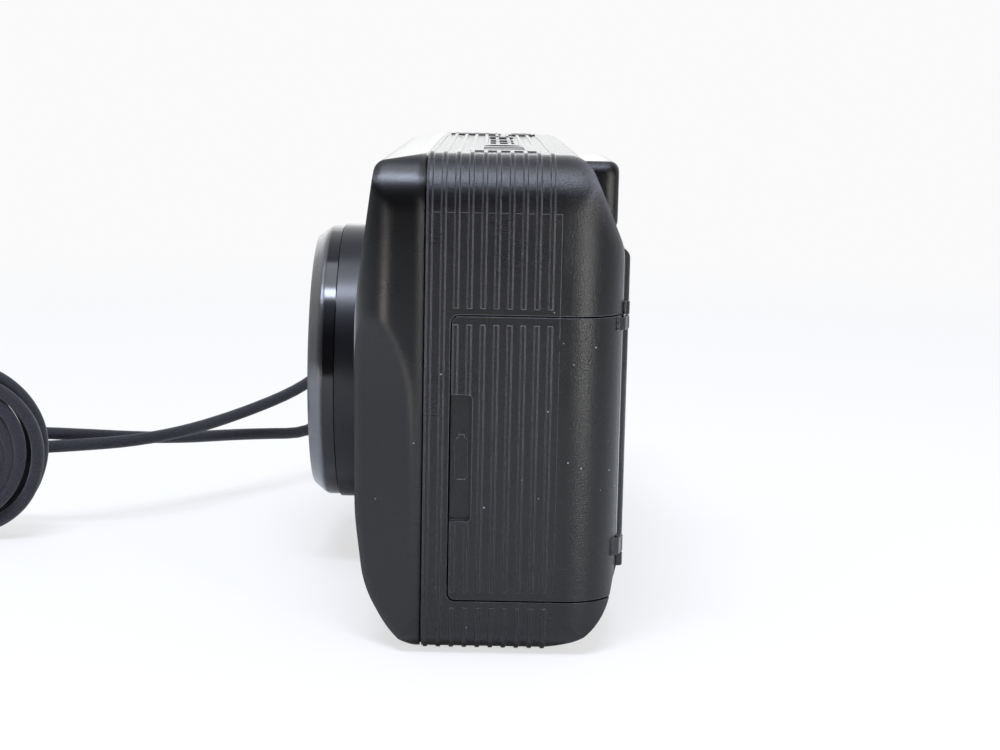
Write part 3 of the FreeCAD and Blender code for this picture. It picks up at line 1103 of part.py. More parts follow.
def arc_route(points, radii_out):
    """Edges of straight runs joined by tangent arcs; each arc is as large as its runs allow."""
    edges = []
    start = points[0]
    for i in range(1, len(points) - 1):
        a, b, c = points[i - 1], points[i], points[i + 1]
        before, after = (b - a), (c - b)
        shorter = min(before.Length, after.Length)
        before.normalize()
        after.normalize()
        turn = before.getAngle(after)
        reach = 0.45 * shorter
        radius = reach / math.tan(turn / 2)
        radii_out.append(radius)
        p, q = b - before * reach, b + after * reach
        bisector = after - before
        bisector.normalize()
        middle = b + bisector * (radius / math.cos(turn / 2) - radius)
        edges.append(Part.makeLine(start, p))
        edges.append(Part.Arc(p, middle, q).toShape())
        start = q
    edges.append(Part.makeLine(start, points[-1]))
    return edges


def pipe(edges, diameter):
    wire = Part.Wire(edges)
    first = wire.OrderedEdges[0]
    point = first.valueAt(first.FirstParameter)
    tangent = first.tangentAt(first.FirstParameter)
    profile = Part.Wire([Part.makeCircle(diameter / 2, point, tangent)])
    shell = Part.BRepOffsetAPI.MakePipeShell(wire)
    shell.add(profile)
    shell.build()
    shell.makeSolid()
    solid = shell.shape()
    print("tube", round(wire.Length, 1), "mm, volume over section times length",
          round(solid.Volume / (math.pi * diameter ** 2 / 4 * wire.Length), 4), "valid", solid.isValid())
    return solid


def hank_point(t):
    """The wound bundle: t turns from its top; it ends at its bottom, and both ends lie at its far side."""
    around = math.pi / 2 + 2 * math.pi * t
    roll = math.radians(HANK_START_DEG + 360.0 * HANK_TWISTS / HANK_SLOTS * t)
    lift = 0.0
    for share in (1 - t / HANK_LIFT_TURNS, 1 - (HANK_TURNS - t) / HANK_LIFT_TURNS):
        share = max(0.0, share)
        lift += HANK_LIFT * share * share * (3 - 2 * share)
    reach = HANK_R + HANK_TUBE_R * math.cos(roll)
    return V(HANK_X + HANK_TUBE_R * math.sin(roll) - lift,
             HANK_Y + reach * math.cos(around), HANK_Z + reach * math.sin(around))


def hank_tangent(t):
    step = 1e-4
    a, b = max(0.0, t - step), min(HANK_TURNS, t + step)
    d = hank_point(b) - hank_point(a)
    d.normalize()
    return d


def biarc(p, tp, q, tq):
    """Two tangent arcs from p along tp to q along tq."""
    v = q - p
    a = 2 * (1 - tp.dot(tq))
    b = 2 * v.dot(tp + tq)
    c = -v.dot(v)
    d = (-b + math.sqrt(b * b - 4 * a * c)) / (2 * a)
    joint = (p + tp * d + q - tq * d) * 0.5
    first = Part.Arc(p, arc_by_tangent(p, tp, joint), joint).toShape()
    second = Part.Arc(joint, arc_by_tangent(q, tq * -1, joint), q).toShape()
    return [first, second]


def arc_by_tangent(start, tangent, end):
    """The middle point of the arc that leaves start along tangent and reaches end."""
    chord = end - start
    length = chord.Length
    along = chord * (1 / length)
    half_angle = along.getAngle(tangent)
    normal = tangent - along * tangent.dot(along)
    normal.normalize()
    return (start + end) * 0.5 + normal * (length / 2 * math.tan(half_angle / 2))


def hank_edges():
    edges = []
    steps = int(round(HANK_TURNS * 8))
    for i in range(steps):
        a, b = i / 8, (i + 1) / 8
        edges += biarc(hank_point(a), hank_tangent(a), hank_point(b), hank_tangent(b))
    return edges


def least_gap(edges):
    """The least gap between turns, measured on points along the line."""
    points = []
    along = 0.0
    previous = None
    for e in edges:
        count = 12
        for k in range(count):
            p = e.valueAt(e.FirstParameter + (e.LastParameter - e.FirstParameter) * k / count)
            if previous is not None:
                along += (p - previous).Length
            previous = p
            points.append((along, p))
    best = 1e9
    for i, (s, p) in enumerate(points):
        for u, q in points[i + 1:]:
            if u - s > 3.2 * CORD_D:
                best = min(best, (p - q).Length)
    return best - CORD_D


def strand_routes():
    """The two strands by hand-chosen points, from the ferrule to the bundle."""
    top, bottom = hank_point(0), hank_point(HANK_TURNS)
    upper = [
        V(FERRULE_X, FERRULE_FRONT_Y, FERRULE_Z + STRAND_OFFSET),
        V(FERRULE_X, FERRULE_FRONT_Y - 7.0, FERRULE_Z + STRAND_OFFSET),
        V(FERRULE_X + 4.1, -31.2, 26.8),
        V(FERRULE_X + 13.1, -36.5, 20.8),
        V(-34.0, -51.1, 16.9),
        V(-17.0, -63.2, 15.9),
        V(-9.8, -79.3, 14.6),
        bottom + hank_tangent(HANK_TURNS) * 7.0,
        bottom,
    ]
    lower = [
        V(FERRULE_X, FERRULE_FRONT_Y, FERRULE_Z - STRAND_OFFSET),
        V(FERRULE_X, FERRULE_FRONT_Y - 6.5, FERRULE_Z - STRAND_OFFSET),
        V(FERRULE_X + 1.2, -29.0, 25.6),
        V(FERRULE_X + 3.2, -31.4, 20.0),
        V(FERRULE_X + 7.6, -34.6, 9.7),
        V(-43.0, -48.0, 12.4),
        V(-26.0, -61.9, 14.4),
        V(-12.0, -79.3, 18.4),
        top - hank_tangent(0) * 7.0,
        top,
    ]
    return upper, lower


def loop_route():
    """The thin loop, from the ferrule round the lug's bar and back."""
    z = FERRULE_Z
    return [
        V(FERRULE_X + 0.6, FERRULE_BACK_Y, z + 1.0),
        V(FERRULE_X + 0.6, 2.2, z + 1.0),
        V(FERRULE_X + 7.7, 2.2, z + 0.4),
        V(FERRULE_X + 7.7, -4.2, z - 0.4),
        V(FERRULE_X - 0.6, -4.2, z - 1.0),
        V(FERRULE_X - 0.6, FERRULE_BACK_Y, z - 1.0),
    ]


def ferrule():
    body = rod(FERRULE_R, (FERRULE_X, FERRULE_FRONT_Y, FERRULE_Z), (FERRULE_X, FERRULE_BACK_Y, FERRULE_Z))
    for y in (-10.0, -13.0):
        groove = tube(FERRULE_R + 1, FERRULE_R - 0.35, (FERRULE_X, y - 0.3, FERRULE_Z), (FERRULE_X, y + 0.3, FERRULE_Z))
        body = body.cut(groove)
    return body


def cord_nodes():
    radii = []
    upper, lower = strand_routes()
    nodes = {
        "strap_run_upper": pipe(arc_route(upper, radii), CORD_D),
        "strap_run_lower": pipe(arc_route(lower, radii), CORD_D),
        "strap_loop": pipe(arc_route(loop_route(), radii), LOOP_D),
        "strap_ferrule": ferrule(),
    }
    print("arc radii", [round(r, 1) for r in radii])
    wound = hank_edges()
    print("bundle: least arc radius", round(min(e.Curve.Radius for e in wound), 2),
          "least gap to itself", round(least_gap(wound), 2))
    nodes["strap_bundle"] = pipe(wound, CORD_D)
    return nodes


def build():
    outer = blank()
    inner = blank(WALL)
    ribbed = ribbed_outer(outer)
    nodes = {}
    nodes["front_shell"] = front_shell(outer, inner)
    nodes["main_shell"] = main_shell(ribbed, inner)
    nodes["battery_door"] = battery_door(ribbed)
    nodes["hinge_pins"] = hinge_pins()
    nodes["battery_holder"] = battery_holder()
    nodes["battery_cell"] = battery_cell()
    nodes["electric_contacts"] = Part.makeCompound([battery_contacts(), dx_contacts()])
    nodes["back_cover"] = back_cover()
    nodes["back_latch"] = back_latch()
    nodes["film_window"] = plate_y(film_window_corners(), COVER_OUT_Y - COVER_SKIN, COVER_OUT_Y - 0.15)
    nodes["pressure_plate"] = pressure_plate()
    nodes["pressure_spring"] = pressure_spring()
    nodes["chassis"] = chassis()
    nodes["light_seals"] = light_seals()
    nodes["take_up_spool"] = take_up_spool()
    nodes["idler_gear"] = idler_gear()
    nodes["motor_pinion"] = motor_pinion()
    nodes["film_motor"] = film_motor()
    nodes["rewind_fork"] = rewind_fork()
    nodes["lens_collar"] = lens_collar()
    nodes["barrel_tube"] = Part.makeCompound([barrel_tube(), blade_plate()])
    nodes["barrel_ring"] = barrel_ring()
    nodes["barrel_bezel"] = barrel_bezel()
    nodes["cover_blade_upper"] = cover_blade(1)
    nodes["cover_blade_lower"] = cover_blade(-1)
    nodes["front_cell"] = front_cell()
    nodes["front_lens_group"] = front_lens_group()
    nodes["lens_carriage"] = lens_carriage()
    nodes["rear_lens_group"] = rear_lens_group()
    nodes["shutter_unit"] = shutter_unit()
    nodes["lens_guide_rods"] = lens_guide_rods()
    nodes["viewfinder_tube"] = viewfinder_tube()
    nodes["viewfinder_window"] = pane(window_corners(FINDER_X, FINDER_WIDTH, FINDER_HEIGHT, 1.5))
    nodes["flash_window"] = pane(window_corners(FLASH_X, FLASH_WIDTH, FLASH_HEIGHT, 1.5))
    nodes["autofocus_window"] = pane(window_corners(FOCUS_X, FOCUS_WIDTH, FOCUS_HEIGHT, 3.0))
    small = [rod(1.6, (x, FRONT_Y - 1, WINDOW_Z), (x, FRONT_Y + WALL + 1.5, WINDOW_Z)).common(blank(0.1))
             for x in (SENSOR_X, LAMP_X)]
    nodes["sensor_window"] = small[0]
    nodes["timer_lamp"] = small[1]
    nodes["flash_reflector"] = flash_reflector()
    nodes["flash_tube"] = flash_tube()
    nodes["flash_capacitor"] = flash_capacitor()
    nodes["autofocus_module"] = autofocus_module()
    nodes["main_board"] = main_board()
    nodes["function_button"] = function_button()
    nodes["flash_button"] = top_button(FLASH_BUTTON_X, SMALL_BUTTON_R)
    nodes["timer_button"] = top_button(TIMER_BUTTON_X, SMALL_BUTTON_R)
    nodes["shutter_button"] = shutter_button()
    nodes["zoom_rocker"] = zoom_rocker()
    nodes["power_slide"] = power_slide()
    nodes["rewind_button"] = rewind_button()
    nodes["display_window"] = display_window()
    nodes["eyepiece_frame"] = eyepiece_frame()
    nodes["eyepiece_glass"] = eyepiece_glass()
    nodes["case_fittings"] = Part.makeCompound([tripod_socket(), case_screws()])
    nodes["strap_lug"] = strap_lug()
    nodes.update(cord_nodes())
    return nodes


if __name__ == "__main__":
    os.makedirs("parts", exist_ok=True)
    made = build()
    for name, shape in made.items():
        if not shape.isValid() or not shape.Solids:
            print("bad shape", name)
        shape.exportStep(f"parts/{name}.step")
    print(len(made), "nodes")
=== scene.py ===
import json
import math

import bmesh
import bpy
from mathutils import Matrix, Vector


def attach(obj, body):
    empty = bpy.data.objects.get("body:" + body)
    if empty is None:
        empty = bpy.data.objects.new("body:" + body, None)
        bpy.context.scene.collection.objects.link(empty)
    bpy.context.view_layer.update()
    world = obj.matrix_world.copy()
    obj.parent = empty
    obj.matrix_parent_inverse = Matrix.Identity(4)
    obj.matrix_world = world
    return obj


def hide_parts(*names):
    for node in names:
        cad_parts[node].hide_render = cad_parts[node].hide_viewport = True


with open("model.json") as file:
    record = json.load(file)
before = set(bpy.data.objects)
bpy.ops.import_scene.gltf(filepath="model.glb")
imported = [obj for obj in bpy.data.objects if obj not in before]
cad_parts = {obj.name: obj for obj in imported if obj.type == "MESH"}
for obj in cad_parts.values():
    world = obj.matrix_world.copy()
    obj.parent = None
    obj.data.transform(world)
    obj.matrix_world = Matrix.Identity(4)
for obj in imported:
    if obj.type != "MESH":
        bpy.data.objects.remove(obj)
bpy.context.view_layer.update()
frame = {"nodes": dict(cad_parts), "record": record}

# Compact film camera in ribbed black plastic, standing on a white table with its neck cord wound up
# in front of the lens. Blender's lengths are metres: values in millimetres are turned with MM, and the
# places of the camera, the lamps and the table are in metres.

MM = 0.001
NODES = frame["nodes"]


# Nodes and colours
def linear(hex_colour):
    """An sRGB hex colour as the linear RGBA that a shader socket takes."""
    channels = [int(hex_colour[i:i + 2], 16) / 255 for i in (1, 3, 5)]
    return tuple(c / 12.92 if c <= 0.04045 else ((c + 0.055) / 1.055) ** 2.4 for c in channels) + (1.0,)


def add(tree, kind, settings=None, links=None):
    """Adds a shader node. Lower-case settings are its properties, the others its sockets."""
    node = tree.nodes.new(kind)
    for key, value in (settings or {}).items():
        if isinstance(key, str) and key.islower():
            setattr(node, key, value)
        else:
            node.inputs[key].default_value = value
    for key, output in (links or {}).items():
        tree.links.new(output, node.inputs[key])
    return node


def new_material(name):
    """An empty node material and its Principled shader, already joined to the output."""
    material = bpy.data.materials.new(name)
    material.use_nodes = True
    tree = material.node_tree
    tree.nodes.clear()
    shader = add(tree, "ShaderNodeBsdfPrincipled")
    add(tree, "ShaderNodeOutputMaterial", links={"Surface": shader.outputs["BSDF"]})
    return material, tree, shader


# What the finishes share. Names that end in MM are millimetres.
ABS_IOR = 1.44
PLAIN_IOR = 1.5
CLEAR_ROUGHNESS = 0.02
HANDLING_MM = 14
# painted glints: paler flecks mixed into the colour, standing in for light sparkling on the grain
PAINTED_GLINT_TONE = "#55555a"
CALM_FROM_MM = 10.8
CALM_TO_MM = 11.6
CALM_PAINTED_GLINTS = 0.2
# painted edge highlight: a paler colour along the edges, standing in for light caught by their rounding,
# weaker low down
EDGE_HIGHLIGHT_TONE = "#77767c"
EDGE_HIGHLIGHT_LOW_MM = 8
EDGE_HIGHLIGHT_HIGH_MM = 46
EDGE_HIGHLIGHT_LOW_SHARE = 0.3
DUST_TONE = "#b9bcc0"
DUST_APART_MM = 3.6
DUST_SIZE = 0.035
YARN_MM = 0.35


def moulded_plastic(name, colour, roughness, grain_mm=0.3, grain_depth=0.02, dust=0.0, edge_mm=0.05,
                    painted_edge_highlight=0.0, painted_glints=0.0, soft_corner=None):
    """Injection-moulded ABS from a spark-eroded tool: a fine grain that breaks the gloss up, painted glints
    (paler flecks in the colour) in places, edges with a small radius from the mould and a painted
    highlight along them (a paler colour), uneven sheen where hands have been, gloss at a grazing angle,
    and a little dust. The painted glints are fewer behind the mould line, and the painted edge highlight
    is weaker low down. soft_corner is (radius, from Y, from Z) in mm: where the corner of the shell is
    well rounded."""
    material, tree, shader = new_material(name)
    place = add(tree, "ShaderNodeTexCoord")
    grain = add(tree, "ShaderNodeTexNoise",
                {"Scale": 1 / (grain_mm * MM), "Detail": 2.0, "Roughness": 0.6},
                {"Vector": place.outputs["Object"]})
    handling = add(tree, "ShaderNodeTexNoise", {"Scale": 1 / (HANDLING_MM * MM), "Detail": 3.0},
                   {"Vector": place.outputs["Object"]})
    tone = add(tree, "ShaderNodeValToRGB", links={"Fac": handling.outputs["Fac"]})
    base = linear(colour)
    tone.color_ramp.elements[0].position = 0.3
    tone.color_ramp.elements[0].color = tuple(c * 0.85 for c in base[:3]) + (1.0,)
    tone.color_ramp.elements[1].position = 0.7
    tone.color_ramp.elements[1].color = tuple(c * 1.15 for c in base[:3]) + (1.0,)
    sheen = add(tree, "ShaderNodeMapRange",
                {"From Min": 0.3, "From Max": 0.7, "To Min": roughness - 0.03, "To Max": roughness + 0.04},
                {"Value": handling.outputs["Fac"]})
    rounded = add(tree, "ShaderNodeBevel", {"samples": 6, "Radius": edge_mm * MM})
    normal = rounded.outputs["Normal"]
    spot = add(tree, "ShaderNodeSeparateXYZ", links={"Vector": place.outputs["Object"]})
    if soft_corner:
        radius, from_y, from_z = soft_corner
        wide = add(tree, "ShaderNodeBevel", {"samples": 8, "Radius": radius * MM})
        behind = add(tree, "ShaderNodeMapRange", {"From Min": from_y * MM, "From Max": (from_y + 1) * MM},
                     {"Value": spot.outputs["Y"]})
        high = add(tree, "ShaderNodeMapRange", {"From Min": from_z * MM, "From Max": (from_z + 4) * MM},
                   {"Value": spot.outputs["Z"]})
        share = add(tree, "ShaderNodeMath", {"operation": "MULTIPLY"},
                    {0: behind.outputs["Result"], 1: high.outputs["Result"]})
        blend = add(tree, "ShaderNodeMix", {"data_type": "VECTOR"},
                    {0: share.outputs["Value"], 4: normal, 5: wide.outputs["Normal"]})
        normal = blend.outputs[1]
    grazing = add(tree, "ShaderNodeLayerWeight", {"Blend": 0.5}, {"Normal": normal})
    edge_on = add(tree, "ShaderNodeMapRange", {"interpolation_type": "SMOOTHSTEP", "From Min": 0.72,
                                               "From Max": 0.97, "To Min": 1.0, "To Max": 0.3},
                  {"Value": grazing.outputs["Facing"]})
    polish = add(tree, "ShaderNodeMath", {"operation": "MULTIPLY"},
                 {0: sheen.outputs["Result"], 1: edge_on.outputs["Result"]})
    relief = add(tree, "ShaderNodeBump", {"Strength": 1.0, "Distance": grain_depth * MM},
                 {"Height": grain.outputs["Fac"], "Normal": normal})
    surface = tone.outputs["Color"]
    # painted glints: paler flecks in the colour where the grain is high, fewer behind the mould line
    if painted_glints:
        painted_glint_share = add(tree, "ShaderNodeMapRange", {"From Min": CALM_FROM_MM * MM, "From Max": CALM_TO_MM * MM,
                                                  "To Min": painted_glints, "To Max": CALM_PAINTED_GLINTS * painted_glints},
                     {"Value": spot.outputs["Y"]})
        painted_glint_flecks = add(tree, "ShaderNodeMapRange", {"From Min": 0.52, "From Max": 0.72},
                     {"Value": grain.outputs["Fac"], "To Max": painted_glint_share.outputs["Result"]})
        painted_glint_mix = add(tree, "ShaderNodeMix", {"data_type": "RGBA", 7: linear(PAINTED_GLINT_TONE)},
                     {0: painted_glint_flecks.outputs["Result"], 6: surface})
        surface = painted_glint_mix.outputs[2]
    # painted highlight along the edges, where the rounded normal leaves the true one: weaker low down and
    # broken up by the grain
    if painted_edge_highlight:
        flat = add(tree, "ShaderNodeNewGeometry")
        likeness = add(tree, "ShaderNodeVectorMath", {"operation": "DOT_PRODUCT"},
                       {0: normal, 1: flat.outputs["True Normal"]})
        edge_highlight_by_height = add(tree, "ShaderNodeMapRange",
                      {"From Min": EDGE_HIGHLIGHT_LOW_MM * MM, "From Max": EDGE_HIGHLIGHT_HIGH_MM * MM,
                       "To Min": EDGE_HIGHLIGHT_LOW_SHARE * painted_edge_highlight, "To Max": painted_edge_highlight},
                      {"Value": spot.outputs["Z"]})
        broken_edge_highlight = add(tree, "ShaderNodeMapRange", {"From Min": 0.3, "From Max": 0.6, "To Min": 0.4},
                     {"Value": grain.outputs["Fac"]})
        patchy_edge_highlight = add(tree, "ShaderNodeMath", {"operation": "MULTIPLY"},
                     {0: edge_highlight_by_height.outputs["Result"], 1: broken_edge_highlight.outputs["Result"]})
        edge_highlight_share = add(tree, "ShaderNodeMapRange", {"From Min": 0.995, "From Max": 0.9},
                     {"Value": likeness.outputs["Value"], "To Max": patchy_edge_highlight.outputs["Value"]})
        edge_highlighted = add(tree, "ShaderNodeMix", {"data_type": "RGBA", 7: linear(EDGE_HIGHLIGHT_TONE)},
                   {0: edge_highlight_share.outputs["Result"], 6: surface})
        surface = edge_highlighted.outputs[2]
    if dust:
        cells = add(tree, "ShaderNodeTexVoronoi", {"Scale": 1 / (DUST_APART_MM * MM), "Randomness": 1.0},
                    {"Vector": place.outputs["Object"]})
        speck = add(tree, "ShaderNodeMath", {"operation": "LESS_THAN", 1: DUST_SIZE},
                    {0: cells.outputs["Distance"]})
        amount = add(tree, "ShaderNodeMath", {"operation": "MULTIPLY", 1: dust},
                     {0: speck.outputs["Value"]})
        dusty = add(tree, "ShaderNodeMix", {"data_type": "RGBA", 7: linear(DUST_TONE)},
                    {0: amount.outputs["Value"], 6: surface})
        surface = dusty.outputs[2]
    tree.links.new(surface, shader.inputs["Base Color"])
    tree.links.new(polish.outputs["Value"], shader.inputs["Roughness"])
    tree.links.new(relief.outputs["Normal"], shader.inputs["Normal"])
    shader.inputs["IOR"].default_value = ABS_IOR
    return material


def plain_finish(name, colour, roughness, metallic=0.0, grain_mm=0.3, grain_depth=0.0, coat=0.0,
                 stretch=(1, 1, 1), variation=0.1, edge_mm=0.08):
    """A simpler finish with a fine pattern in its tone, for small pieces and for the inside."""
    material, tree, shader = new_material(name)
    place = add(tree, "ShaderNodeTexCoord")
    lie = add(tree, "ShaderNodeMapping", {"Scale": stretch}, {"Vector": place.outputs["Object"]})
    grain = add(tree, "ShaderNodeTexNoise", {"Scale": 1 / (grain_mm * MM), "Detail": 2.0},
                {"Vector": lie.outputs["Vector"]})
    tone = add(tree, "ShaderNodeValToRGB", links={"Fac": grain.outputs["Fac"]})
    base = linear(colour)
    tone.color_ramp.elements[0].position = 0.3
    tone.color_ramp.elements[0].color = tuple(c * (1 - variation) for c in base[:3]) + (1.0,)
    tone.color_ramp.elements[1].position = 0.7
    tone.color_ramp.elements[1].color = tuple(min(1.0, c * (1 + variation)) for c in base[:3]) + (1.0,)
    rounded = add(tree, "ShaderNodeBevel", {"samples": 4, "Radius": edge_mm * MM})
    normal = rounded.outputs["Normal"]
    if grain_depth:
        relief = add(tree, "ShaderNodeBump", {"Strength": 0.5, "Distance": grain_depth * MM},
                     {"Height": grain.outputs["Fac"], "Normal": normal})
        normal = relief.outputs["Normal"]
    tree.links.new(tone.outputs["Color"], shader.inputs["Base Color"])
    tree.links.new(normal, shader.inputs["Normal"])
    shader.inputs["Roughness"].default_value = roughness
    shader.inputs["Metallic"].default_value = metallic
    shader.inputs["IOR"].default_value = PLAIN_IOR
    shader.inputs["Coat Weight"].default_value = coat
    return material


def clear_glass(name, colour, ior=PLAIN_IOR):
    """Polished clear plastic or glass, tinted through its depth."""
    material, tree, shader = new_material(name)
    place = add(tree, "ShaderNodeTexCoord")
    smears = add(tree, "ShaderNodeTexNoise", {"Scale": 1 / (6 * MM), "Detail": 3.0},
                 {"Vector": place.outputs["Object"]})
    rough = add(tree, "ShaderNodeMapRange", {"To Min": CLEAR_ROUGHNESS, "To Max": CLEAR_ROUGHNESS + 0.05},
                {"Value": smears.outputs["Fac"]})
    tree.links.new(rough.outputs["Result"], shader.inputs["Roughness"])
    shader.inputs["Base Color"].default_value = linear(colour)
    shader.inputs["Transmission Weight"].default_value = 1.0
    shader.inputs["IOR"].default_value = ior
    return material


def braided_cord(name):
    """Braided polyester cord: a soft dark yarn, drawn as uneven flecks, with a faint sheen."""
    material, tree, shader = new_material(name)
    place = add(tree, "ShaderNodeTexCoord")
    yarn = add(tree, "ShaderNodeTexNoise", {"Scale": 1 / (YARN_MM * MM), "Detail": 3.0, "Roughness": 0.7},
               {"Vector": place.outputs["Object"]})
    tone = add(tree, "ShaderNodeValToRGB", links={"Fac": yarn.outputs["Fac"]})
    tone.color_ramp.elements[0].position = 0.35
    tone.color_ramp.elements[0].color = linear("#17171c")
    tone.color_ramp.elements[1].position = 0.68
    tone.color_ramp.elements[1].color = linear("#2e2d38")
    relief = add(tree, "ShaderNodeBump", {"Strength": 0.9, "Distance": 0.08 * MM},
                 {"Height": yarn.outputs["Fac"]})
    tree.links.new(tone.outputs["Color"], shader.inputs["Base Color"])
    tree.links.new(relief.outputs["Normal"], shader.inputs["Normal"])
    shader.inputs["Roughness"].default_value = 0.85
    shader.inputs["Sheen Weight"].default_value = 0.25
    shader.inputs["Sheen Roughness"].default_value = 0.5
    return material


FINISHES = {
    # the rib and door finishes carry painted glints and a painted edge highlight in their colour
    "rib_black": moulded_plastic("spark_eroded_abs", "#080809", 0.28, grain_mm=0.22, grain_depth=0.06,
                                 dust=0.6, edge_mm=0.17, painted_edge_highlight=1.0, painted_glints=0.16,
                                 soft_corner=(4.0, 11.0, 55.0)),
    "shell_black": moulded_plastic("satin_abs", "#0a0a0b", 0.27, grain_mm=0.4, grain_depth=0.012,
                                   dust=0.4, edge_mm=2.2),
    "door_black": moulded_plastic("spark_eroded_abs_door", "#080809", 0.28, grain_mm=0.22,
                                  grain_depth=0.06, dust=0.6, edge_mm=0.17, painted_edge_highlight=1.0, painted_glints=0.16),
    "collar_black": moulded_plastic("matt_black_paint", "#121317", 0.30, grain_mm=0.3, grain_depth=0.004,
                                    dust=0.4),
    "gloss_black": plain_finish("polished_black", "#0b0b0d", 0.13, grain_mm=3.0),
    "bezel_grey": plain_finish("satin_metal_bezel", "#707173", 0.2, metallic=0.85, grain_mm=0.4,
                               edge_mm=1.3),
    "inner_black": plain_finish("matt_inner_plastic", "#141415", 0.6, grain_depth=0.01),
    "button_black": plain_finish("satin_button_plastic", "#232326", 0.38, grain_depth=0.004),
    "clear_glass": clear_glass("clear_pane", "#f4f6f6"),
    "tinted_pane": clear_glass("smoked_pane", "#3a3640"),
    "lens_glass": clear_glass("coated_lens_glass", "#c9c4e4", ior=1.6),
    "lamp_red": plain_finish("red_lamp_lens", "#8a1414", 0.12, coat=0.5),
    "steel": plain_finish("brushed_steel", "#a8a8aa", 0.32, metallic=1.0, stretch=(8, 1, 1)),
    "spring_steel": plain_finish("bright_spring_steel", "#b4b4b6", 0.2, metallic=1.0),
    "contact_brass": plain_finish("bright_brass", "#c8ab62", 0.25, metallic=1.0),
    "reflector_chrome": plain_finish("chromed_reflector", "#d8d9dc", 0.08, metallic=1.0),
    "gear_white": plain_finish("acetal", "#cfcfc6", 0.45),
    "cell_sleeve": plain_finish("printed_foil_sleeve", "#31506b", 0.3, coat=0.3),
    "capacitor_sleeve": plain_finish("shrink_sleeve", "#20283a", 0.35),
    "board_green": plain_finish("solder_mask", "#2a5c38", 0.35),
    "seal_foam": plain_finish("black_foam", "#121212", 0.95, grain_mm=0.5, grain_depth=0.1),
    "display_grey": plain_finish("display_panel", "#343735", 0.42, variation=0.03),
    "cord_fabric": braided_cord("braided_polyester"),
    "ferrule_black": plain_finish("rubber_sleeve", "#161617", 0.6, grain_depth=0.01),
}


def dress_cad_nodes():
    """Every CAD node gets the finish that the record names for it."""
    for part in frame["record"]["subparts"]:
        node = NODES[part["node"]]
        node.data.materials.clear()
        node.data.materials.append(FINISHES[part["material_slot"]])


dress_cad_nodes()


# Fine moulded lines, with places and sizes in millimetres
END_FACE_X = 62.78
NOTCH_FLOOR_X = 61.98
LINE_SUNK = 0.05
MOULD_Y = 10.75
END_FRONT_Y = -7.9
END_TOP_Z = 65.6
DOOR_TOP_Z = 45.8
ABOVE_DOOR_Z = 47.6
DOOR_LOW_Z = 9.8


def moulded_line(name, route, face_x, width, proud, body, slot, closed=False):
    """A low ridge of three sides along route, which is (Y, Z) on a face at face_x that looks along +X."""
    bm = bmesh.new()
    count = len(route)
    rings = []
    for i, (y, z) in enumerate(route):
        before = route[i - 1] if i or closed else route[0]
        after = route[(i + 1) % count] if i + 1 < count or closed else route[-1]
        along = Vector((after[0] - before[0], after[1] - before[1])).normalized()
        half_y, half_z = -along.y * width / 2, along.x * width / 2
        corners = ((face_x - LINE_SUNK, y - half_y, z - half_z), (face_x + proud, y, z),
                   (face_x - LINE_SUNK, y + half_y, z + half_z))
        rings.append([bm.verts.new(Vector(c) * MM) for c in corners])
    for i in range(count if closed else count - 1):
        a, b = rings[i], rings[(i + 1) % count]
        for k in range(3):
            bm.faces.new((a[k], a[(k + 1) % 3], b[(k + 1) % 3], b[k]))
    if not closed:
        bm.faces.new(rings[0])
        bm.faces.new(rings[-1])
    bmesh.ops.recalc_face_normals(bm, faces=bm.faces)
    mesh = bpy.data.meshes.new(name)
    bm.to_mesh(mesh)
    bm.free()
    mesh.materials.append(FINISHES[slot])
    line = bpy.data.objects.new(name, mesh)
    bpy.context.scene.collection.objects.link(line)
    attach(line, body)


def battery_outline():
    """The upright shape of a cell with its small end up, its corners rounded, as (Y, Z)."""
    middle_y, middle_z = -3.2, 29.6
    half_w, half_h, cut = 0.95, 3.1, 0.35
    nub_w, nub_h = 0.4, 0.5
    right = [(half_w - cut, -half_h), (half_w, -half_h + cut), (half_w, half_h - cut),
             (half_w - cut, half_h), (nub_w, half_h), (nub_w, half_h + nub_h)]
    left = [(-y, z) for y, z in reversed(right)]
    return [(middle_y + y, middle_z + z) for y, z in right + left]


# where two faces of the mould met, on the shell and across its end, and on the door
moulded_line("shell_mould_line", [(MOULD_Y, ABOVE_DOOR_Z), (MOULD_Y, END_TOP_Z)], END_FACE_X, 0.2, 0.06,
             "camera", "rib_black")
moulded_line("end_mould_line", [(END_FRONT_Y, END_TOP_Z), (MOULD_Y, END_TOP_Z)], END_FACE_X, 0.16, 0.05,
             "camera", "rib_black")
moulded_line("door_mould_line", [(MOULD_Y, DOOR_LOW_Z), (MOULD_Y, DOOR_TOP_Z)], END_FACE_X, 0.14, 0.04,
             "battery_door_body", "door_black")
moulded_line("battery_sign", battery_outline(), NOTCH_FLOOR_X, 0.34, 0.14, "battery_door_body", "door_black",
             closed=True)


# Neck cord, in millimetres, degrees and turns. The bundle is a ring round HANK whose turns lie on a tube
# of radius HANK_TUBE_R. LOOSE and WANDER let turns lie further in, SWAY shifts them round the tube, and
# PINCH draws the ring in at one place.
CORD_D = 2.3
LOOP_D = 1.0
LEAD_IN = 6.5
HANK = Vector((-2.0, -95.2, 16.85))
HANK_R = 11.3
HANK_TUBE_R = 4.3
HANK_TURNS = 8.5
HANK_SLOTS = 9
HANK_TWISTS = 2
HANK_START_DEG = -70.0
HANK_LIFT = 2.8
HANK_LIFT_TURNS = 0.3
HANK_LOOSE = 0.42
HANK_WANDER = 0.61
HANK_SWAY_DEG = 9.0
HANK_SWAY_RATE = 1.37
PINCH_DEG = -12.0
PINCH_WIDTH_DEG = 15.0
PINCH = 0.1
POINTS_PER_TURN = 20


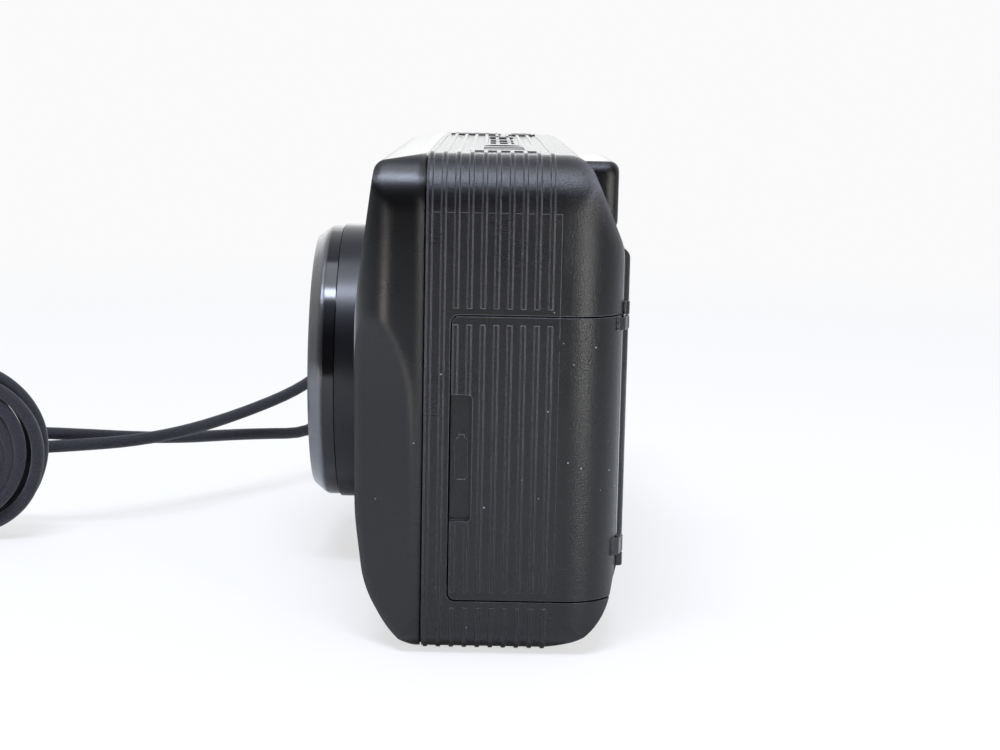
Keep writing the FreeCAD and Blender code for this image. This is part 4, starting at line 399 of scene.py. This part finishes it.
def hank_point(t):
    """A point of the bundle, t turns from its top. Near both of its ends the cord lifts off the ring."""
    around = math.pi / 2 + 2 * math.pi * t
    sway = HANK_SWAY_DEG * math.sin(2 * math.pi * HANK_SWAY_RATE * t)
    roll = math.radians(HANK_START_DEG + 360.0 * HANK_TWISTS / HANK_SLOTS * t + sway)
    lift = 0.0
    for share in (1 - t / HANK_LIFT_TURNS, 1 - (HANK_TURNS - t) / HANK_LIFT_TURNS):
        share = max(0.0, share)
        lift += HANK_LIFT * share * share * (3 - 2 * share)
    off = (math.degrees(around) - PINCH_DEG + 180) % 360 - 180
    tied = PINCH * math.exp(-(off / PINCH_WIDTH_DEG) ** 2)
    inward = HANK_LOOSE * (0.5 + 0.5 * math.cos(2 * math.pi * HANK_WANDER * t))
    tube = HANK_TUBE_R * (1 - inward) * (1 - tied)
    reach = HANK_R + tube * math.cos(roll)
    return HANK + Vector((tube * math.sin(roll) - lift, reach * math.cos(around), reach * math.sin(around)))


def curve_of(name, points, diameter, material):
    """A smooth round cord through control points in millimetres."""
    curve = bpy.data.curves.new(name, "CURVE")
    curve.dimensions = "3D"
    curve.bevel_depth = diameter / 2 * MM
    curve.bevel_resolution = 5
    curve.resolution_u = 6
    curve.use_fill_caps = True
    spline = curve.splines.new("NURBS")
    spline.points.add(len(points) - 1)
    for i, p in enumerate(points):
        spline.points[i].co = (p[0] * MM, p[1] * MM, p[2] * MM, 1.0)
    spline.order_u = 3
    spline.use_endpoint_u = True
    curve.materials.append(material)
    cord = bpy.data.objects.new(name, curve)
    bpy.context.scene.collection.objects.link(cord)
    return cord


def neck_cord():
    """One length: out of the ferrule, wound into the bundle, and back into the ferrule."""
    upper = [(-66.6, -18.0, 31.4), (-66.6, -25.0, 31.4), (-62.5, -31.2, 26.8), (-53.5, -36.5, 20.8),
             (-34.0, -51.1, 16.9), (-17.0, -63.2, 15.9), (-9.8, -79.3, 15.7), (-9.8, -89.0, 15.2)]
    lower = [(-66.6, -18.0, 28.6), (-66.6, -24.5, 28.6), (-65.4, -29.0, 25.6), (-63.4, -31.4, 20.0),
             (-59.0, -34.6, 9.7), (-43.0, -48.0, 12.4), (-26.0, -61.9, 14.4), (-12.0, -79.3, 17.8),
             (-9.8, -89.0, 18.3)]
    count = int(HANK_TURNS * POINTS_PER_TURN)
    wound = [hank_point(HANK_TURNS * i / count) for i in range(count + 1)]
    into_top = wound[0] + (wound[0] - wound[1]).normalized() * LEAD_IN
    into_bottom = wound[-1] + (wound[-1] - wound[-2]).normalized() * LEAD_IN
    route = upper + [into_bottom] + wound[::-1] + [into_top] + lower[::-1]
    cord = curve_of("neck_cord", route, CORD_D, FINISHES["cord_fabric"])
    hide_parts("strap_run_upper", "strap_run_lower", "strap_bundle")
    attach(cord, "camera")
    loop = [(-66.0, -11.0, 31.0), (-66.0, 2.2, 31.0), (-58.9, 2.2, 30.4), (-58.9, -4.2, 29.6),
            (-67.2, -4.2, 29.0), (-67.2, -11.0, 29.0)]
    thin = curve_of("lug_loop", loop, LOOP_D, FINISHES["cord_fabric"])
    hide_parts("strap_loop")
    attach(thin, "camera")


neck_cord()


# Studio, in metres
FOCAL_MM = 66.1
SENSOR_MM = 36.0
EYE = (0.3253, 0.0, 0.0838)
LOOKS_ALONG = (-0.98765691, 0.0084233, -0.15640614)
EYE_UP = (-0.15654039, -0.01878796, 0.98749284)
TABLE_FAR = 6.0
TABLE_EDGE = 0.42
WHITE_FROM = 0.16
WHITE_FULL = 0.6
WHITE_LEAST = 0.68
LAMPS = (
    ("window_light", (0.32, -0.07, 0.72), (0.0, 0.0, 0.04), (0.40, 0.10), 4.2, "#dfe8ff"),
    ("ceiling_light", (0.12, 0.0, 1.0), (0.0, 0.0, 0.03), (0.5, 0.5), 2.6, "#eef2ff"),
    ("back_side_strip", (0.232, 0.125, 0.065), (0.06, 0.017, 0.045), (0.024, 0.11), 0.21, "#f8f7f2"),
    ("front_side_strip", (0.235, -0.110, 0.020), (0.06, -0.015, 0.045), (0.03, 0.034), 0.05, "#fff6ee"),
    ("rear_panel", (-0.75, 0.0, 0.27), (0.0, 0.0, 0.07), (1.3, 0.36), 1.0, "#f4f6fa"),
)


def camera():
    """The photograph's own view: from the user's left end, a little above, close to the object."""
    data = bpy.data.cameras.new("photo_camera")
    data.sensor_width = SENSOR_MM
    data.lens = FOCAL_MM
    data.clip_start = 0.01
    eye = bpy.data.objects.new("photo_camera", data)
    forward = Vector(LOOKS_ALONG)
    up = Vector(EYE_UP)
    right = forward.cross(up).normalized()
    up = right.cross(forward).normalized()
    turn = Matrix((right, up, -forward)).transposed().to_4x4()
    eye.matrix_world = Matrix.Translation(EYE) @ turn
    bpy.context.scene.collection.objects.link(eye)
    bpy.context.scene.camera = eye


def soft_box(name, place, aim, size, power, colour):
    """A rectangular area lamp that looks at aim and isn't seen itself."""
    data = bpy.data.lights.new(name, "AREA")
    data.shape = "RECTANGLE"
    data.size, data.size_y = size
    data.energy = power
    data.color = linear(colour)[:3]
    lamp = bpy.data.objects.new(name, data)
    lamp.location = place
    lamp.rotation_euler = (Vector(aim) - Vector(place)).to_track_quat("-Z", "Y").to_euler()
    lamp.visible_camera = False
    bpy.context.scene.collection.objects.link(lamp)


def floor():
    """White table paper, which ends on the camera's own side. The camera sees most of it as plain white,
    and the rest is lit paper that keeps the object's shadow."""
    material, tree, shader = new_material("white_paper")
    shader.inputs["Base Color"].default_value = linear("#f2f2f0")
    shader.inputs["Roughness"].default_value = 0.9
    shader.inputs["Specular IOR Level"].default_value = 0.0
    output = next(n for n in tree.nodes if n.type == "OUTPUT_MATERIAL")
    white = add(tree, "ShaderNodeEmission", {"Color": linear("#fafafb"), "Strength": 1.0})
    place = add(tree, "ShaderNodeTexCoord")
    reach = add(tree, "ShaderNodeVectorMath", {"operation": "LENGTH"}, {0: place.outputs["Object"]})
    fade = add(tree, "ShaderNodeMapRange", {"interpolation_type": "SMOOTHSTEP", "From Min": WHITE_FROM,
                                            "From Max": WHITE_FULL, "To Min": WHITE_LEAST, "To Max": 1.0},
               {"Value": reach.outputs["Value"]})
    seen = add(tree, "ShaderNodeLightPath")
    share = add(tree, "ShaderNodeMath", {"operation": "MULTIPLY"},
                {0: seen.outputs["Is Camera Ray"], 1: fade.outputs["Result"]})
    mix = add(tree, "ShaderNodeMixShader", {}, {0: share.outputs["Value"], 1: shader.outputs["BSDF"],
                                                2: white.outputs["Emission"]})
    tree.links.new(mix.outputs["Shader"], output.inputs["Surface"])
    data = bpy.data.meshes.new("table")
    data.from_pydata([(-TABLE_FAR, -TABLE_FAR, 0), (TABLE_EDGE, -TABLE_FAR, 0), (TABLE_EDGE, TABLE_FAR, 0),
                      (-TABLE_FAR, TABLE_FAR, 0)], [], [(0, 1, 2, 3)])
    data.materials.append(material)
    table = bpy.data.objects.new("table", data)
    bpy.context.scene.collection.objects.link(table)


def surroundings():
    """A white sweep behind the object, grey sides, and a dark room on the camera's side, under a pale
    ceiling."""
    world = bpy.data.worlds.new("studio")
    bpy.context.scene.world = world
    world.use_nodes = True
    tree = world.node_tree
    tree.nodes.clear()
    place = add(tree, "ShaderNodeTexCoord")
    split = add(tree, "ShaderNodeSeparateXYZ", links={"Vector": place.outputs["Generated"]})
    angle = add(tree, "ShaderNodeMath", {"operation": "ARCTAN2"},
                {0: split.outputs["Y"], 1: split.outputs["X"]})
    wide = add(tree, "ShaderNodeMath", {"operation": "ABSOLUTE"}, {0: angle.outputs["Value"]})
    turn = add(tree, "ShaderNodeMapRange", {"From Max": math.pi}, {"Value": wide.outputs["Value"]})
    walls = add(tree, "ShaderNodeValToRGB", links={"Fac": turn.outputs["Result"]})
    ramp = walls.color_ramp
    ramp.elements[0].position = 0.0
    ramp.elements[0].color = linear("#3c3b3e")
    ramp.elements[1].position = 1.0
    ramp.elements[1].color = linear("#fbfbfa")
    for degrees, colour in ((60, "#45443f"), (80, "#8d8c88"), (100, "#dededb"), (125, "#fbfbfa")):
        stop = ramp.elements.new(degrees / 180)
        stop.color = linear(colour)
    above = add(tree, "ShaderNodeMapRange", {"interpolation_type": "SMOOTHSTEP", "From Min": 0.45,
                                             "From Max": 0.98}, {"Value": split.outputs["Z"]})
    room = add(tree, "ShaderNodeMix", {"data_type": "RGBA", 7: linear("#c3c9d6")},
               {0: above.outputs["Result"], 6: walls.outputs["Color"]})
    seen = add(tree, "ShaderNodeLightPath")
    level = add(tree, "ShaderNodeMix", {"data_type": "RGBA", 7: linear("#fafafb")},
                {0: seen.outputs["Is Camera Ray"], 6: room.outputs[2]})
    sky = add(tree, "ShaderNodeBackground", {"Strength": 1.0}, {"Color": level.outputs[2]})
    add(tree, "ShaderNodeOutputWorld", links={"Surface": sky.outputs["Background"]})


camera()
surroundings()
floor()
for lamp_values in LAMPS:
    soft_box(*lamp_values)
bpy.context.scene.view_settings.view_transform = "Standard"
